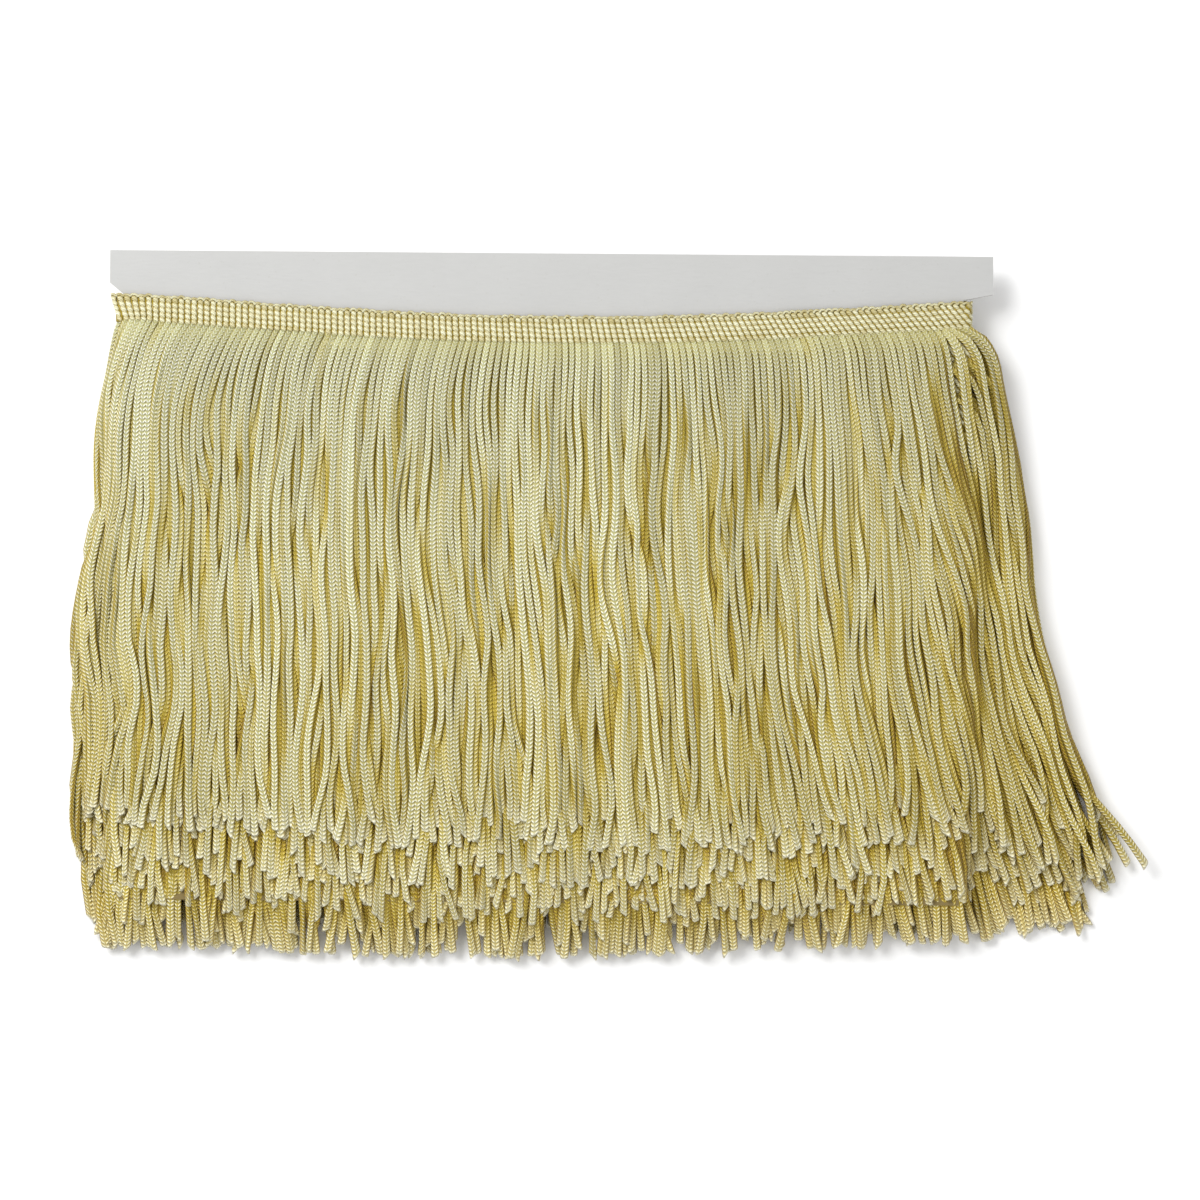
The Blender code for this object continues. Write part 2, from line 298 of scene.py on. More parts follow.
class Nodes:
    """Short ways to place and link the nodes of one material."""

    SHEEN_ROUGHNESS = 0.4

    def __init__(self, name: str) -> None:
        """Starts a material with its Principled shader.

        Args:
            name: The material's name.
        """
        self.material = bpy.data.materials.new(name)
        self.material.use_nodes = True
        self.tree = self.material.node_tree
        self.shader = self.tree.nodes["Principled BSDF"]

    def add(self, kind: str, **settings: object) -> bpy.types.Node:
        """Adds a node and sets its properties.

        Args:
            kind: The node's type name.
            **settings: Properties of the node.

        Returns:
            The node.
        """
        node = self.tree.nodes.new(kind)
        for key, value in settings.items():
            setattr(node, key, value)
        return node

    def feed(self, socket: bpy.types.NodeSocket, source: object) -> None:
        """Links a socket to an output, or sets it to a constant.

        Args:
            socket: The input socket.
            source: An output socket, a number or a colour.
        """
        if isinstance(source, bpy.types.NodeSocket):
            self.tree.links.new(source, socket)
        else:
            socket.default_value = source

    def math(self, operation: str, *values: object, clamp: bool = False) -> bpy.types.NodeSocket:
        """A Math node on up to three values.

        Args:
            operation: The operation's name.
            *values: Output sockets or numbers.
            clamp: Whether the result is kept from 0 to 1.

        Returns:
            Its output.
        """
        node = self.add("ShaderNodeMath", operation=operation, use_clamp=clamp)
        for socket, value in zip(node.inputs, values):
            self.feed(socket, value)
        return node.outputs[0]

    def mix(self, factor: object, first: object, second: object, blend: str = "MIX") -> bpy.types.NodeSocket:
        """A colour Mix node.

        Args:
            factor: How much of the second colour.
            first: The first colour.
            second: The second colour.
            blend: The way they mix.

        Returns:
            Its colour.
        """
        node = self.add("ShaderNodeMix", data_type="RGBA", blend_type=blend)
        for socket, value in ((0, factor), (6, first), (7, second)):
            self.feed(node.inputs[socket], value)
        return node.outputs[2]

    def noise(self, vector: object, scale: float, detail: float = 2.0) -> bpy.types.NodeSocket:
        """A Noise Texture's value, from 0 to 1.

        Args:
            vector: Where it is read.
            scale: How many humps there are to a unit.
            detail: How many finer octaves it has.

        Returns:
            Its factor.
        """
        node = self.add("ShaderNodeTexNoise")
        self.feed(node.inputs["Vector"], vector)
        node.inputs["Scale"].default_value = scale
        node.inputs["Detail"].default_value = detail
        return node.outputs["Fac"]

    def wave(self, operation: str, turns: object) -> bpy.types.NodeSocket:
        """A wave, brought from the range of -1 to 1 to that of 0 to 1.

        Args:
            operation: Cosine or sine.
            turns: How many whole waves have gone by.

        Returns:
            The wave's height.
        """
        angle = self.math("MULTIPLY", turns, 2.0 * np.pi)
        return self.math("MULTIPLY_ADD", self.math(operation, angle), 0.5, 0.5)

    def grey(self, level: object) -> bpy.types.NodeSocket:
        """A grey of the given level.

        Args:
            level: An output socket or a number.

        Returns:
            The colour.
        """
        node = self.add("ShaderNodeCombineColor")
        for socket in node.inputs[:3]:
            self.feed(socket, level)
        return node.outputs[0]

    def mark(self, name: str) -> bpy.types.NodeSocket:
        """The value of a named number that the mesh carries on its points."""
        return self.add("ShaderNodeAttribute", attribute_name=name).outputs["Fac"]

    def object_place(self) -> bpy.types.NodeSocket:
        """Object coordinates, in metres."""
        return self.add("ShaderNodeTexCoord").outputs["Object"]

    def uv(self) -> tuple[bpy.types.NodeSocket, bpy.types.NodeSocket]:
        """The two numbers of the piece's own UV map."""
        split = self.add("ShaderNodeSeparateXYZ")
        self.feed(split.inputs[0], self.add("ShaderNodeUVMap", uv_map="UVMap").outputs[0])
        return split.outputs[0], split.outputs[1]

    def bump(self, height: object, distance: float, strength: float = 1.0) -> bpy.types.NodeSocket:
        """A Bump node.

        Args:
            height: The height, from 0 to 1.
            distance: What a height of 1 is, in metres.
            strength: How much of it is used.

        Returns:
            The bumped normal.
        """
        node = self.add("ShaderNodeBump")
        node.inputs["Strength"].default_value = strength
        node.inputs["Distance"].default_value = distance
        self.feed(node.inputs["Height"], height)
        return node.outputs[0]

    def finish(
        self, colour: object, roughness: float, normal: object = None, sheen: float = 0.0
    ) -> bpy.types.Material:
        """Feeds the shader.

        Args:
            colour: The base colour.
            roughness: How dull it is.
            normal: The bumped normal, if there is one.
            sheen: How much of a soft sheen there is.

        Returns:
            The finished material.
        """
        inputs = self.shader.inputs
        self.feed(inputs["Base Color"], colour)
        inputs["Roughness"].default_value = roughness
        if sheen > 0.0:
            inputs["Sheen Weight"].default_value = sheen
            inputs["Sheen Roughness"].default_value = self.SHEEN_ROUGHNESS
        if normal is not None:
            self.feed(inputs["Normal"], normal)
        return self.material


@dataclass(frozen=True)
class CordYarn:
    """The chainette: a fine knitted tube of bright yarn with two rows of slanting stitches a face.

    Its colour goes from bright through golden to brown with the depth at which the yarn lies. The
    golden and the brown are painted shade, warm as light bounced between the cords is. That depth is
    the depth of the cord under others, with some for where on the fringe it is, and some more down
    the cord's own sides.

    Attributes:
        bright: Colour of the yarn where a stitch stands out in the light.
        hollow: Painted shade deep between the stitches.
        held: Colour just under the heading, where the stitches are drawn smooth.
        golden: Painted shade where a cord lies lower than those beside it.
        brown: Deeper painted shade where it lies deep under others.
        cut_end: Colour of the loose fibres at its cut end.
        roughness: How dull the yarn is.
        sheen: How much of a soft sheen it has.
        slant: How many stitches a stitch's leg rises from the groove to the edge.
        relief: Height of the stitches.
        stripe_power: Shape of a stitch down the cord. Over 1 makes it narrower than the hollows.
        leg_power: How suddenly a stitch's leg ends at the groove and at the cord's edge.
        held_flat: Share of their height that the stitches lose where they are held.
        held_share: How much of the held colour shows there.
        side_power: How late the cord's sides fall away into painted shade.
        side_depth: Depth of painted shade at the very side of a cord.
        warm_depth: Depth of painted shade that full painted warmth counts for.
        warm_top: Share of that which is left out on top of a stitch.
        golden_rise: Share of golden for each unit of depth.
        brown_start: Depth at which brown starts.
        brown_rise: Share of brown for each unit of depth past that.
        dimmest: Brightness of the dimmest cord.
        tone_range: How much brighter the brightest one is.
        cut_share: How much of its own colour the cut end shows.
        between: Strength of the golden and brown painted shade between the stitches, against that on top of
            them.
    """

    bright: tuple = (0.97, 0.99, 0.91, 1.0)
    hollow: tuple = (0.40, 0.40, 0.16, 1.0)
    held: tuple = (0.55, 0.55, 0.30, 1.0)
    golden: tuple = (0.62, 0.48, 0.05, 1.0)
    brown: tuple = (0.42, 0.26, 0.012, 1.0)
    cut_end: tuple = (0.92, 0.90, 0.72, 1.0)
    roughness: float = 0.36
    sheen: float = 0.05
    slant: float = 1.0
    relief: float = 0.00045
    stripe_power: float = 0.95
    leg_power: float = 4.0
    held_flat: float = 0.35
    held_share: float = 0.40
    side_power: float = 2.6
    side_depth: float = 0.62
    warm_depth: float = 0.36
    warm_top: float = 0.75
    golden_rise: float = 1.75
    brown_start: float = 0.5
    brown_rise: float = 1.7
    dimmest: float = 0.85
    tone_range: float = 0.26
    cut_share: float = 0.6
    between: float = 0.66

    def _stitch_height(self, n: Nodes, from_groove: object, down: object, held: object) -> object:
        """Height of the stitches, from 0 to 1.

        It is the cosine of the way down the cord plus the slant times the distance from the groove,
        faded at the groove and at the cord's edges, and lower where the cord is held.

        Args:
            n: The material's nodes.
            from_groove: 0 in the groove of either face and 1 at the cord's edges.
            down: How many stitches down the cord.
            held: How much the cord is held.

        Returns:
            The height.
        """
        phase = n.math("MULTIPLY_ADD", from_groove, self.slant, down)
        stripe = n.math("POWER", n.wave("COSINE", phase), self.stripe_power)
        from_middle = n.math("ABSOLUTE", n.math("MULTIPLY_ADD", from_groove, 2.0, -1.0))
        leg = n.math("SUBTRACT", 1.0, n.math("POWER", from_middle, self.leg_power))
        flat = n.math("MULTIPLY_ADD", held, -self.held_flat, 1.0)
        return n.math("MULTIPLY", n.math("MULTIPLY", stripe, leg), flat)

    def _painted_shade(self, n: Nodes, from_groove: object, height: object) -> object:
        """How deep the yarn lies in painted shade: under other cords, by its place on the fringe, and down
        its sides.

        Args:
            n: The material's nodes.
            from_groove: 0 in the groove of either face and 1 at the cord's edges.
            height: The stitch height, from 0 to 1.

        Returns:
            The depth.
        """
        side = n.math("POWER", from_groove, self.side_power)
        off_top = n.math("MULTIPLY_ADD", height, -self.warm_top, 1.0)
        painted_warmth_and_tone = n.math("MULTIPLY", n.mark("painted_warmth_and_tone"), off_top)
        lower = n.math("MULTIPLY_ADD", painted_warmth_and_tone, self.warm_depth, n.mark("buried"))
        return n.math("MULTIPLY_ADD", side, self.side_depth, lower)

    def _shaded(self, n: Nodes, height: object, colour: tuple) -> object:
        """A colour that is weaker between the stitches than on top of them.

        Args:
            n: The material's nodes.
            height: The stitch height, from 0 to 1.
            colour: The colour on top of a stitch.

        Returns:
            The mixed colour.
        """
        low = tuple(self.between * part for part in colour[:3])
        return n.mix(height, (*low, 1.0), colour)

    def material(self, name: str) -> bpy.types.Material:
        """Makes the finish.

        Args:
            name: The material's name.

        Returns:
            The material.
        """
        n = Nodes(name)
        around, down = n.uv()
        from_groove = n.math("PINGPONG", n.math("MULTIPLY_ADD", around, 4.0, -1.0), 1.0)
        held = n.mark("held")
        height = self._stitch_height(n, from_groove, down, held)
        # Painted shade: the hollows between the stitches take the dark colour, their tops the bright one
        yarn = n.mix(height, self.hollow, self.bright)
        yarn = n.mix(n.math("MULTIPLY", held, self.held_share), yarn, self.held)
        # Painted shade: golden, then brown, with the depth under other cords, by place and down the sides
        depth = self._painted_shade(n, from_groove, height)
        golden_share = n.math("MULTIPLY", depth, self.golden_rise, clamp=True)
        yarn = n.mix(golden_share, yarn, self._shaded(n, height, self.golden))
        past = n.math("SUBTRACT", depth, self.brown_start)
        brown_share = n.math("MULTIPLY", past, self.brown_rise, clamp=True)
        yarn = n.mix(brown_share, yarn, self._shaded(n, height, self.brown))
        # The tone mark is each cord's random brightness, with painted light at the innermost turn's tips and
        # painted shade near the roots
        tone = n.math("MULTIPLY_ADD", n.mark("tone"), self.tone_range, self.dimmest)
        yarn = n.mix(1.0, yarn, n.grey(tone), "MULTIPLY")
        yarn = n.mix(n.math("MULTIPLY", n.mark("cut"), self.cut_share), yarn, self.cut_end)
        return n.finish(yarn, self.roughness, n.bump(height, self.relief), self.sheen)


@dataclass(frozen=True)
class HeadingYarn:
    """The thicker yarn that the heading is knitted from, in columns of round stitches.

    Attributes:
        bright: Colour on top of a stitch, where the light falls.
        golden: Painted shade down between the columns and the stitches.
        roughness: How dull it is.
        sheen: How much of a soft sheen it has.
        relief: Height of the twist of the yarn.
        top_power: How suddenly the bright top of a stitch ends at its sides.
        fibres: How many twisted fibres show round the yarn.
        twist: How many of them pass by in a stitch.
        fibre_power: Shape of a fibre. Under 1 makes it wider than the hollow beside it.
        fibre_share: How much darker the painted shade in the hollows between the fibres is.
    """

    bright: tuple = (0.90, 0.91, 0.68, 1.0)
    golden: tuple = (0.36, 0.26, 0.018, 1.0)
    roughness: float = 0.40
    sheen: float = 0.05
    relief: float = 0.00020
    top_power: float = 3.0
    fibres: float = 5.0
    twist: float = 2.0
    fibre_power: float = 0.5
    fibre_share: float = 0.40

    def material(self, name: str) -> bpy.types.Material:
        """Makes the finish: lit on top of each stitch, golden painted shade at its sides, with a fine twist.

        Args:
            name: The material's name.

        Returns:
            The material.
        """
        n = Nodes(name)
        around, along = n.uv()
        from_top = n.math("PINGPONG", n.math("MULTIPLY_ADD", around, 4.0, -1.0), 2.0)
        on_top = n.math("SUBTRACT", 1.0, n.math("POWER", from_top, self.top_power), clamp=True)
        phase = n.math("MULTIPLY_ADD", around, self.fibres, n.math("MULTIPLY", along, self.twist))
        fibre = n.math("POWER", n.wave("SINE", phase), self.fibre_power)
        lit = n.math("MULTIPLY_ADD", fibre, self.fibre_share, 1.0 - self.fibre_share)
        level = n.math("MULTIPLY", n.math("MULTIPLY", on_top, n.mark("bead")), lit, clamp=True)
        # Painted shade: golden between the columns, the stitches and the fibres, bright on the lit tops
        colour = n.mix(level, self.golden, self.bright)
        return n.finish(colour, self.roughness, n.bump(fibre, self.relief), self.sheen)


@dataclass(frozen=True)
class Paperboard:
    """Light grey board with a faint mottle of fibres and specks, and painted shade under the cords.

    Attributes:
        pale: The lighter of its greys.
        dull: The darker of its greys.
        speck: Colour of its specks.
        shaded: Painted shade deep under the cords, where only light that came through the yarn reaches it.
        shade_start: Y where that shade begins, going down the card.
        shade_end: Y where it is full.
        roughness: How dull it is.
        clouds: How many broad humps of the mottle there are to a metre.
        fibres: How many fibres there are to a metre, along X, Y and Z.
        specks: How many humps there are to a metre in what the specks are cut from.
        speck_start: Height of a hump that shows as a speck.
        speck_rise: Share of the speck's colour for each unit over that.
        cloud_share: How much the clouds count.
        fibre_share: How much the fibres count.
        relief: Height of the fibres.
        relief_share: How much of that height shows.
    """

    pale: tuple = (0.495, 0.495, 0.484, 1.0)
    dull: tuple = (0.430, 0.430, 0.421, 1.0)
    speck: tuple = (0.36, 0.35, 0.31, 1.0)
    shaded: tuple = (0.20, 0.145, 0.050, 1.0)
    shade_start: float = 0.075
    shade_end: float = 0.045
    roughness: float = 0.82
    clouds: float = 45.0
    fibres: tuple = (260.0, 1400.0, 900.0)
    specks: float = 900.0
    speck_start: float = 0.66
    speck_rise: float = 2.4
    cloud_share: float = 0.45
    fibre_share: float = 0.5
    relief: float = 0.00008
    relief_share: float = 0.6

    def _mottle(self, n: Nodes, place: object) -> tuple[object, object]:
        """The greys and specks of the bare board.

        Args:
            n: The material's nodes.
            place: Object coordinates.

        Returns:
            The colour, and the height of the fibres.
        """
        cloud = n.noise(place, self.clouds, detail=3.0)
        stretched = n.add("ShaderNodeMapping")
        n.feed(stretched.inputs["Vector"], place)
        stretched.inputs["Scale"].default_value = self.fibres
        fibre = n.noise(stretched.outputs[0], 1.0, detail=4.0)
        over = n.math("SUBTRACT", n.noise(place, self.specks), self.speck_start, clamp=True)
        of_cloud = n.math("MULTIPLY", cloud, self.cloud_share)
        level = n.math("ADD", of_cloud, n.math("MULTIPLY", fibre, self.fibre_share))
        grey = n.mix(level, self.dull, self.pale)
        return n.mix(n.math("MULTIPLY", over, self.speck_rise), grey, self.speck), fibre

    def material(self, name: str) -> bpy.types.Material:
        """Makes the finish from three sizes of noise, with painted shade down the card under the cords.

        Args:
            name: The material's name.

        Returns:
            The material.
        """
        n = Nodes(name)
        place = n.object_place()
        board, fibre = self._mottle(n, place)
        split = n.add("ShaderNodeSeparateXYZ")
        n.feed(split.inputs[0], place)
        # Painted shade: below shade_start the board darkens to the shaded colour
        down = n.math("SUBTRACT", self.shade_start, split.outputs[1])
        shade = n.math("DIVIDE", down, self.shade_start - self.shade_end, clamp=True)
        colour = n.mix(shade, board, self.shaded)
        return n.finish(colour, self.roughness, n.bump(fibre, self.relief, self.relief_share))


@dataclass(frozen=True)
class PaleFloor:
    """A plain matt white studio floor.

    Attributes:
        colour: Its colour.
        roughness: How dull it is.
        gloss: How much it mirrors.
    """

    colour: tuple = (0.93, 0.93, 0.93, 1.0)
    roughness: float = 0.9
    gloss: float = 0.1

    def material(self, name: str) -> bpy.types.Material:
        """Makes the finish.

        Args:
            name: The material's name.

        Returns:
            The material.
        """
        n = Nodes(name)
        n.shader.inputs["Specular IOR Level"].default_value = self.gloss
        return n.finish(self.colour, self.roughness)


@dataclass(frozen=True)
class SoftBox:
    """A square area light that looks at the middle of the fringe.

    Attributes:
        name: The light's name.
        place: Where it stands.
        size: Its side.
        power: Its power in watts.
    """

    name: str
    place: tuple
    size: float
    power: float

    def switch_on(self) -> None:
        """Adds the light to the scene."""
        data = bpy.data.lights.new(self.name, "AREA")
        data.size = self.size
        data.energy = self.power
        light = bpy.data.objects.new(self.name, data)
        light.location = self.place
        light.rotation_mode = "QUATERNION"
        light.rotation_quaternion = (-Vector(self.place)).to_track_quat("-Z", "Y")
        bpy.context.scene.collection.objects.link(light)


@dataclass
class Studio:
    """Camera, lights and floor.

    Attributes:
        aim: The point in the middle of the photo, on the level of the upper cords.
        view_width: Width of what the photo shows on that level.
        distance: From the camera to that level.
        roll: How far the photo is turned, in degrees.
        sensor: Width of the camera's sensor, in millimetres.
        key: The large light at the upper left.
        fill: The weak light at the right.
        sky: How bright the pale sky is.
        floor_reach: From the middle of the floor to its sides.
    """

    aim: tuple = (-0.00096, -0.00009, 0.020)
    view_width: float = 0.4459
    distance: float = 1.30
    roll: float = 0.45
    sensor: float = 36.0
    key: SoftBox = SoftBox("key_light", (-0.75, 0.70, 1.05), 0.8, 20.5)
    fill: SoftBox = SoftBox("fill_light", (0.9, -0.3, 0.9), 0.9, 3.5)
    sky: float = 0.58
    floor_reach: float = 3.0

    def place_camera(self) -> None:
        """Adds a camera that looks straight down on the fringe, as the photo does."""
        data = bpy.data.cameras.new("camera")
        data.sensor_width = self.sensor
        data.lens = self.sensor * self.distance / self.view_width
        camera = bpy.data.objects.new("camera", data)
        camera.location = Vector(self.aim) + Vector((0.0, 0.0, self.distance))
        camera.rotation_euler = (0.0, 0.0, np.radians(self.roll))
        bpy.context.scene.collection.objects.link(camera)
        bpy.context.scene.camera = camera

    def place_lights(self) -> None:
        """Adds both lights and a pale sky."""
        self.key.switch_on()
        self.fill.switch_on()
        world = bpy.data.worlds.new("pale_sky")
        world.use_nodes = True
        background = world.node_tree.nodes["Background"]
        background.inputs["Color"].default_value = (1.0, 1.0, 1.0, 1.0)
        background.inputs["Strength"].default_value = self.sky
        bpy.context.scene.world = world
        bpy.context.scene.view_settings.view_transform = "Standard"

    def lay_floor(self) -> None:
        """Lays a wide floor, just under what the trim lies on."""
        corners = np.array([(-1.0, -1.0, 0.0), (1.0, -1.0, 0.0), (1.0, 1.0, 0.0), (-1.0, 1.0, 0.0)])
        quad = np.array([(0, 1, 2, 3)])
        white = PaleFloor().material("floor_white")
        floor = mesh_object("floor", self.floor_reach * corners, quad, np.zeros((1, 4, 2)), {}, white)


@dataclass
class HeadingStrip:
    """The heading: one narrow strip wound four times, flat, from the inner end to the outer end.

    Attributes:
        origin: The card frame's origin in the world.
        left_end: X where a pass turns round the card's left edge.
        right_end: X where it turns round the right edge.
        turns: How many times it goes round.
        turn_pitch: How much higher each turn lies than the one before.
        top_depth: How far the last turn's upper edge lies below the card's top.
        sag: How much further that edge hangs in the middle.
        sag_centre: Where it hangs lowest.
        sag_half_length: From there to where it doesn't sag.
        sag_power: How the sag is rounded.
        height: Height of the heading, with the loops of its upper edge.
        thickness: Thickness of its ground.
        middle_radius: From the card's middle plane to the middle of the ground.
        end_inset: How far the two ends stop short of the card's left edge.
        tuck: How far the left bends are drawn in, all but the upper edge of the outermost.
        spread: How far that edge stands out.
        tuck_reach: How far from them both have mostly gone.
        lean: How far a column's upper end lies back along the strip at the card's right edge.
        lean_reach: How far before that edge the lean has mostly gone.
        column_pitch: From one column of stitches to the next.
        step: From point to point of the strip's course on its straight passes.
    """

    origin: Vector
    left_end: float = -0.1607
    right_end: float = 0.1547
    turns: int = 4
    turn_pitch: float = 0.0119
    top_depth: float = 0.0169
    sag: float = 0.0071
    sag_centre: float = 0.005
    sag_half_length: float = 0.160
    sag_power: float = 1.3
    height: float = 0.0100
    thickness: float = 0.0009
    middle_radius: float = 0.00178
    end_inset: float = 0.006
    tuck: float = 0.0014
    spread: float = 0.0018
    tuck_reach: float = 0.008
    lean: float = 0.0078
    lean_reach: float = 0.115
    column_pitch: float = 0.00239
    step: float = 0.0024
    _course: dict = field(default_factory=dict)

    # Half of the ground's section in units of half its height and thickness: flat, with thin edges
    HALF_SECTION = ((-1.0, 0.0), (-0.97, -1.0), (0.0, -1.0), (0.97, -1.0))
    BEND_POINTS = 13

    def __post_init__(self) -> None:
        """Works out the strip's course once."""
        self._course = self._wind()

    def across(self, x: np.ndarray) -> np.ndarray:
        """Share of the way from where the passes turn at the left to where they turn at the right."""
        return (x - self.left_end) / (self.right_end - self.left_end)

    def _top(self, place: Place, turn: int, x: np.ndarray) -> np.ndarray:
        """Y of the upper edge: the front sags between its ends, the back climbs to the left.

        Args:
            place: Front or back.
            turn: Which turn, 1 outermost.
            x: Places along the heading.

        Returns:
            Y at each place.
        """
        if place is Place.FRONT:
            share = np.clip((x - self.sag_centre) / self.sag_half_length, -1.0, 1.0)
            sag = self.sag * (1.0 - share**2) ** self.sag_power
            return -self.top_depth - sag - (turn - 1) * self.turn_pitch
        return -self.top_depth - (turn - 2 + self.across(x)) * self.turn_pitch

    def _wind(self) -> dict:
        """Follows the strip round the card, as straight passes joined by half rounds.

        Returns:
            Arrays along the strip: x, z, top, angle of the outward direction, turn, place, and
            the length gone by.
        """
        parts = []
        bend = np.linspace(0.0, np.pi, self.BEND_POINTS)[1:-1]
        radius = self.middle_radius

        def add(x: np.ndarray, *rest: float | np.ndarray) -> None:
            """Adds a stretch, with what is one number for all of it repeated."""
            parts.append((x, *(value * np.ones(len(x)) for value in rest)))

        for turn in range(self.turns, 0, -1):
            front_angle = np.pi / 2 - 2 * np.pi * (self.turns - turn)
            start = self.left_end + (self.end_inset if turn == self.turns else 0.0)
            end = self.left_end + (self.end_inset if turn == 1 else 0.0)
            for place, first, last, angle in (
                (Place.FRONT, start, self.right_end, front_angle),
                (Place.BACK, self.right_end, end, front_angle - np.pi),
            ):
                x = np.linspace(first, last, int(abs(last - first) / self.step))
                top = self._top(place, turn, x)
                add(x, place.value * radius, top, angle, turn, place.value)
                if place is Place.BACK and turn == 1:
                    continue
                next_turn = turn if place is Place.FRONT else turn - 1
                around = angle - bend
                x = last + radius * np.cos(around)
                add(x, radius * np.sin(around), top[-1], around, next_turn, Place.BEND.value)
        x, z, top, angle, turn, place = (np.concatenate(column) for column in zip(*parts))
        steps = np.sqrt(np.diff(x) ** 2 + np.diff(z) ** 2 + np.diff(top) ** 2)
        gone = np.concatenate(([0.0], np.cumsum(steps)))
        return {"x": x, "z": z, "top": top, "angle": angle, "turn": turn, "place": place, "gone": gone}

    @property
    def length(self) -> float:
        """The whole length of the strip."""
        return float(self._course["gone"][-1])

    def at(self, key: str, gone: np.ndarray) -> np.ndarray:
        """Reads a quantity of the course at lengths along the strip.

        Args:
            key: The quantity's name.
            gone: Lengths along the strip.

        Returns:
            Its values. A turn or place is that of the nearest earlier point.
        """
        course = self._course
        if key in ("turn", "place"):
            earlier = np.searchsorted(course["gone"], gone, side="right") - 1
            return course[key][np.clip(earlier, 0, len(course["gone"]) - 1)]
        return np.interp(gone, course["gone"], course[key])

    def point(self, gone: np.ndarray, share: np.ndarray, out: np.ndarray) -> np.ndarray:
        """The place on the strip, or off it: outwards by a distance.

        Args:
            gone: Lengths along the strip.
            share: Heights, 0 at the lower edge and 1 at the upper one.
            out: Distances outwards from the middle of the ground.

        Returns:
            Points in the card frame.
        """
        angle = self.at("angle", gone)
        x = self.at("x", gone)
        past_left = np.maximum(x - self.left_end, 0.0) / self.tuck_reach
        z = self.at("z", gone)
        seen = smooth_step(z, -self.middle_radius, self.middle_radius) * (self.at("turn", gone) == 1)
        shear = self.tuck - seen * (self.tuck + self.spread) * share
        x = x + out * np.cos(angle) + shear * np.exp(-(past_left**2))
        z = z + out * np.sin(angle)
        y = self.at("top", gone) - self.height * (1.0 - share)
        return np.stack(np.broadcast_arrays(x, y, z), -1)

    def outward(self, gone: np.ndarray) -> np.ndarray:
        """The outward direction at lengths along the strip."""
        angle = self.at("angle", gone)
        return np.stack((np.cos(angle), np.zeros_like(angle), np.sin(angle)), -1)

    def right_corner(self, turn: int) -> float:
        """Length along the strip at which a turn's front meets the card's right edge."""
        course = self._course
        on_front = (course["turn"] == turn) & (course["place"] == Place.FRONT.value)
        return float(course["gone"][on_front][-1])

    def lie_back(self, gone: np.ndarray) -> np.ndarray:
        """How far the upper end of a column lies back along the strip: a bell at each right edge.

        Args:
            gone: Lengths along the strip of the columns' lower ends.

        Returns:
            Distances along the strip.
        """
        turn = self.at("turn", gone)
        back = np.zeros_like(gone)
        for number in range(1, self.turns + 1):
            past = (gone - self.right_corner(number)) / self.lean_reach
            back += self.lean * np.exp(-(past**2)) * (turn == number)
        return back

    def columns(self) -> np.ndarray:
        """Lengths along the strip at which the columns of stitches have their lower ends."""
        count = int(self.length / self.column_pitch)
        return (np.arange(count) + 0.5) * self.length / count

    def build_ground(self, material: bpy.types.Material) -> bpy.types.Object:
        """Makes the ground: one closed flat section, carried along the strip.

        Args:
            material: The finish.

        Returns:
            The object.
        """
        gone = self._course["gone"]
        path = self.point(gone, np.full(len(gone), 0.5), np.zeros(len(gone))) + np.array(self.origin)
        flat = np.ones((1, len(gone)))
        half = np.array(self.HALF_SECTION)
        section = Tubes(
            paths=path[None],
            half_widths=flat * self.height / 2,
            half_depths=flat * self.thickness / 2,
            faces=self.outward(gone)[None],
            profile=np.concatenate((half, -half)),
            along=gone[None] / self.column_pitch,
            # The ground takes the golden painted shade all over, as it lies under the stitches
            marks={"bead": 0.0 * flat},
        )
        return section.build("heading_ground", material)


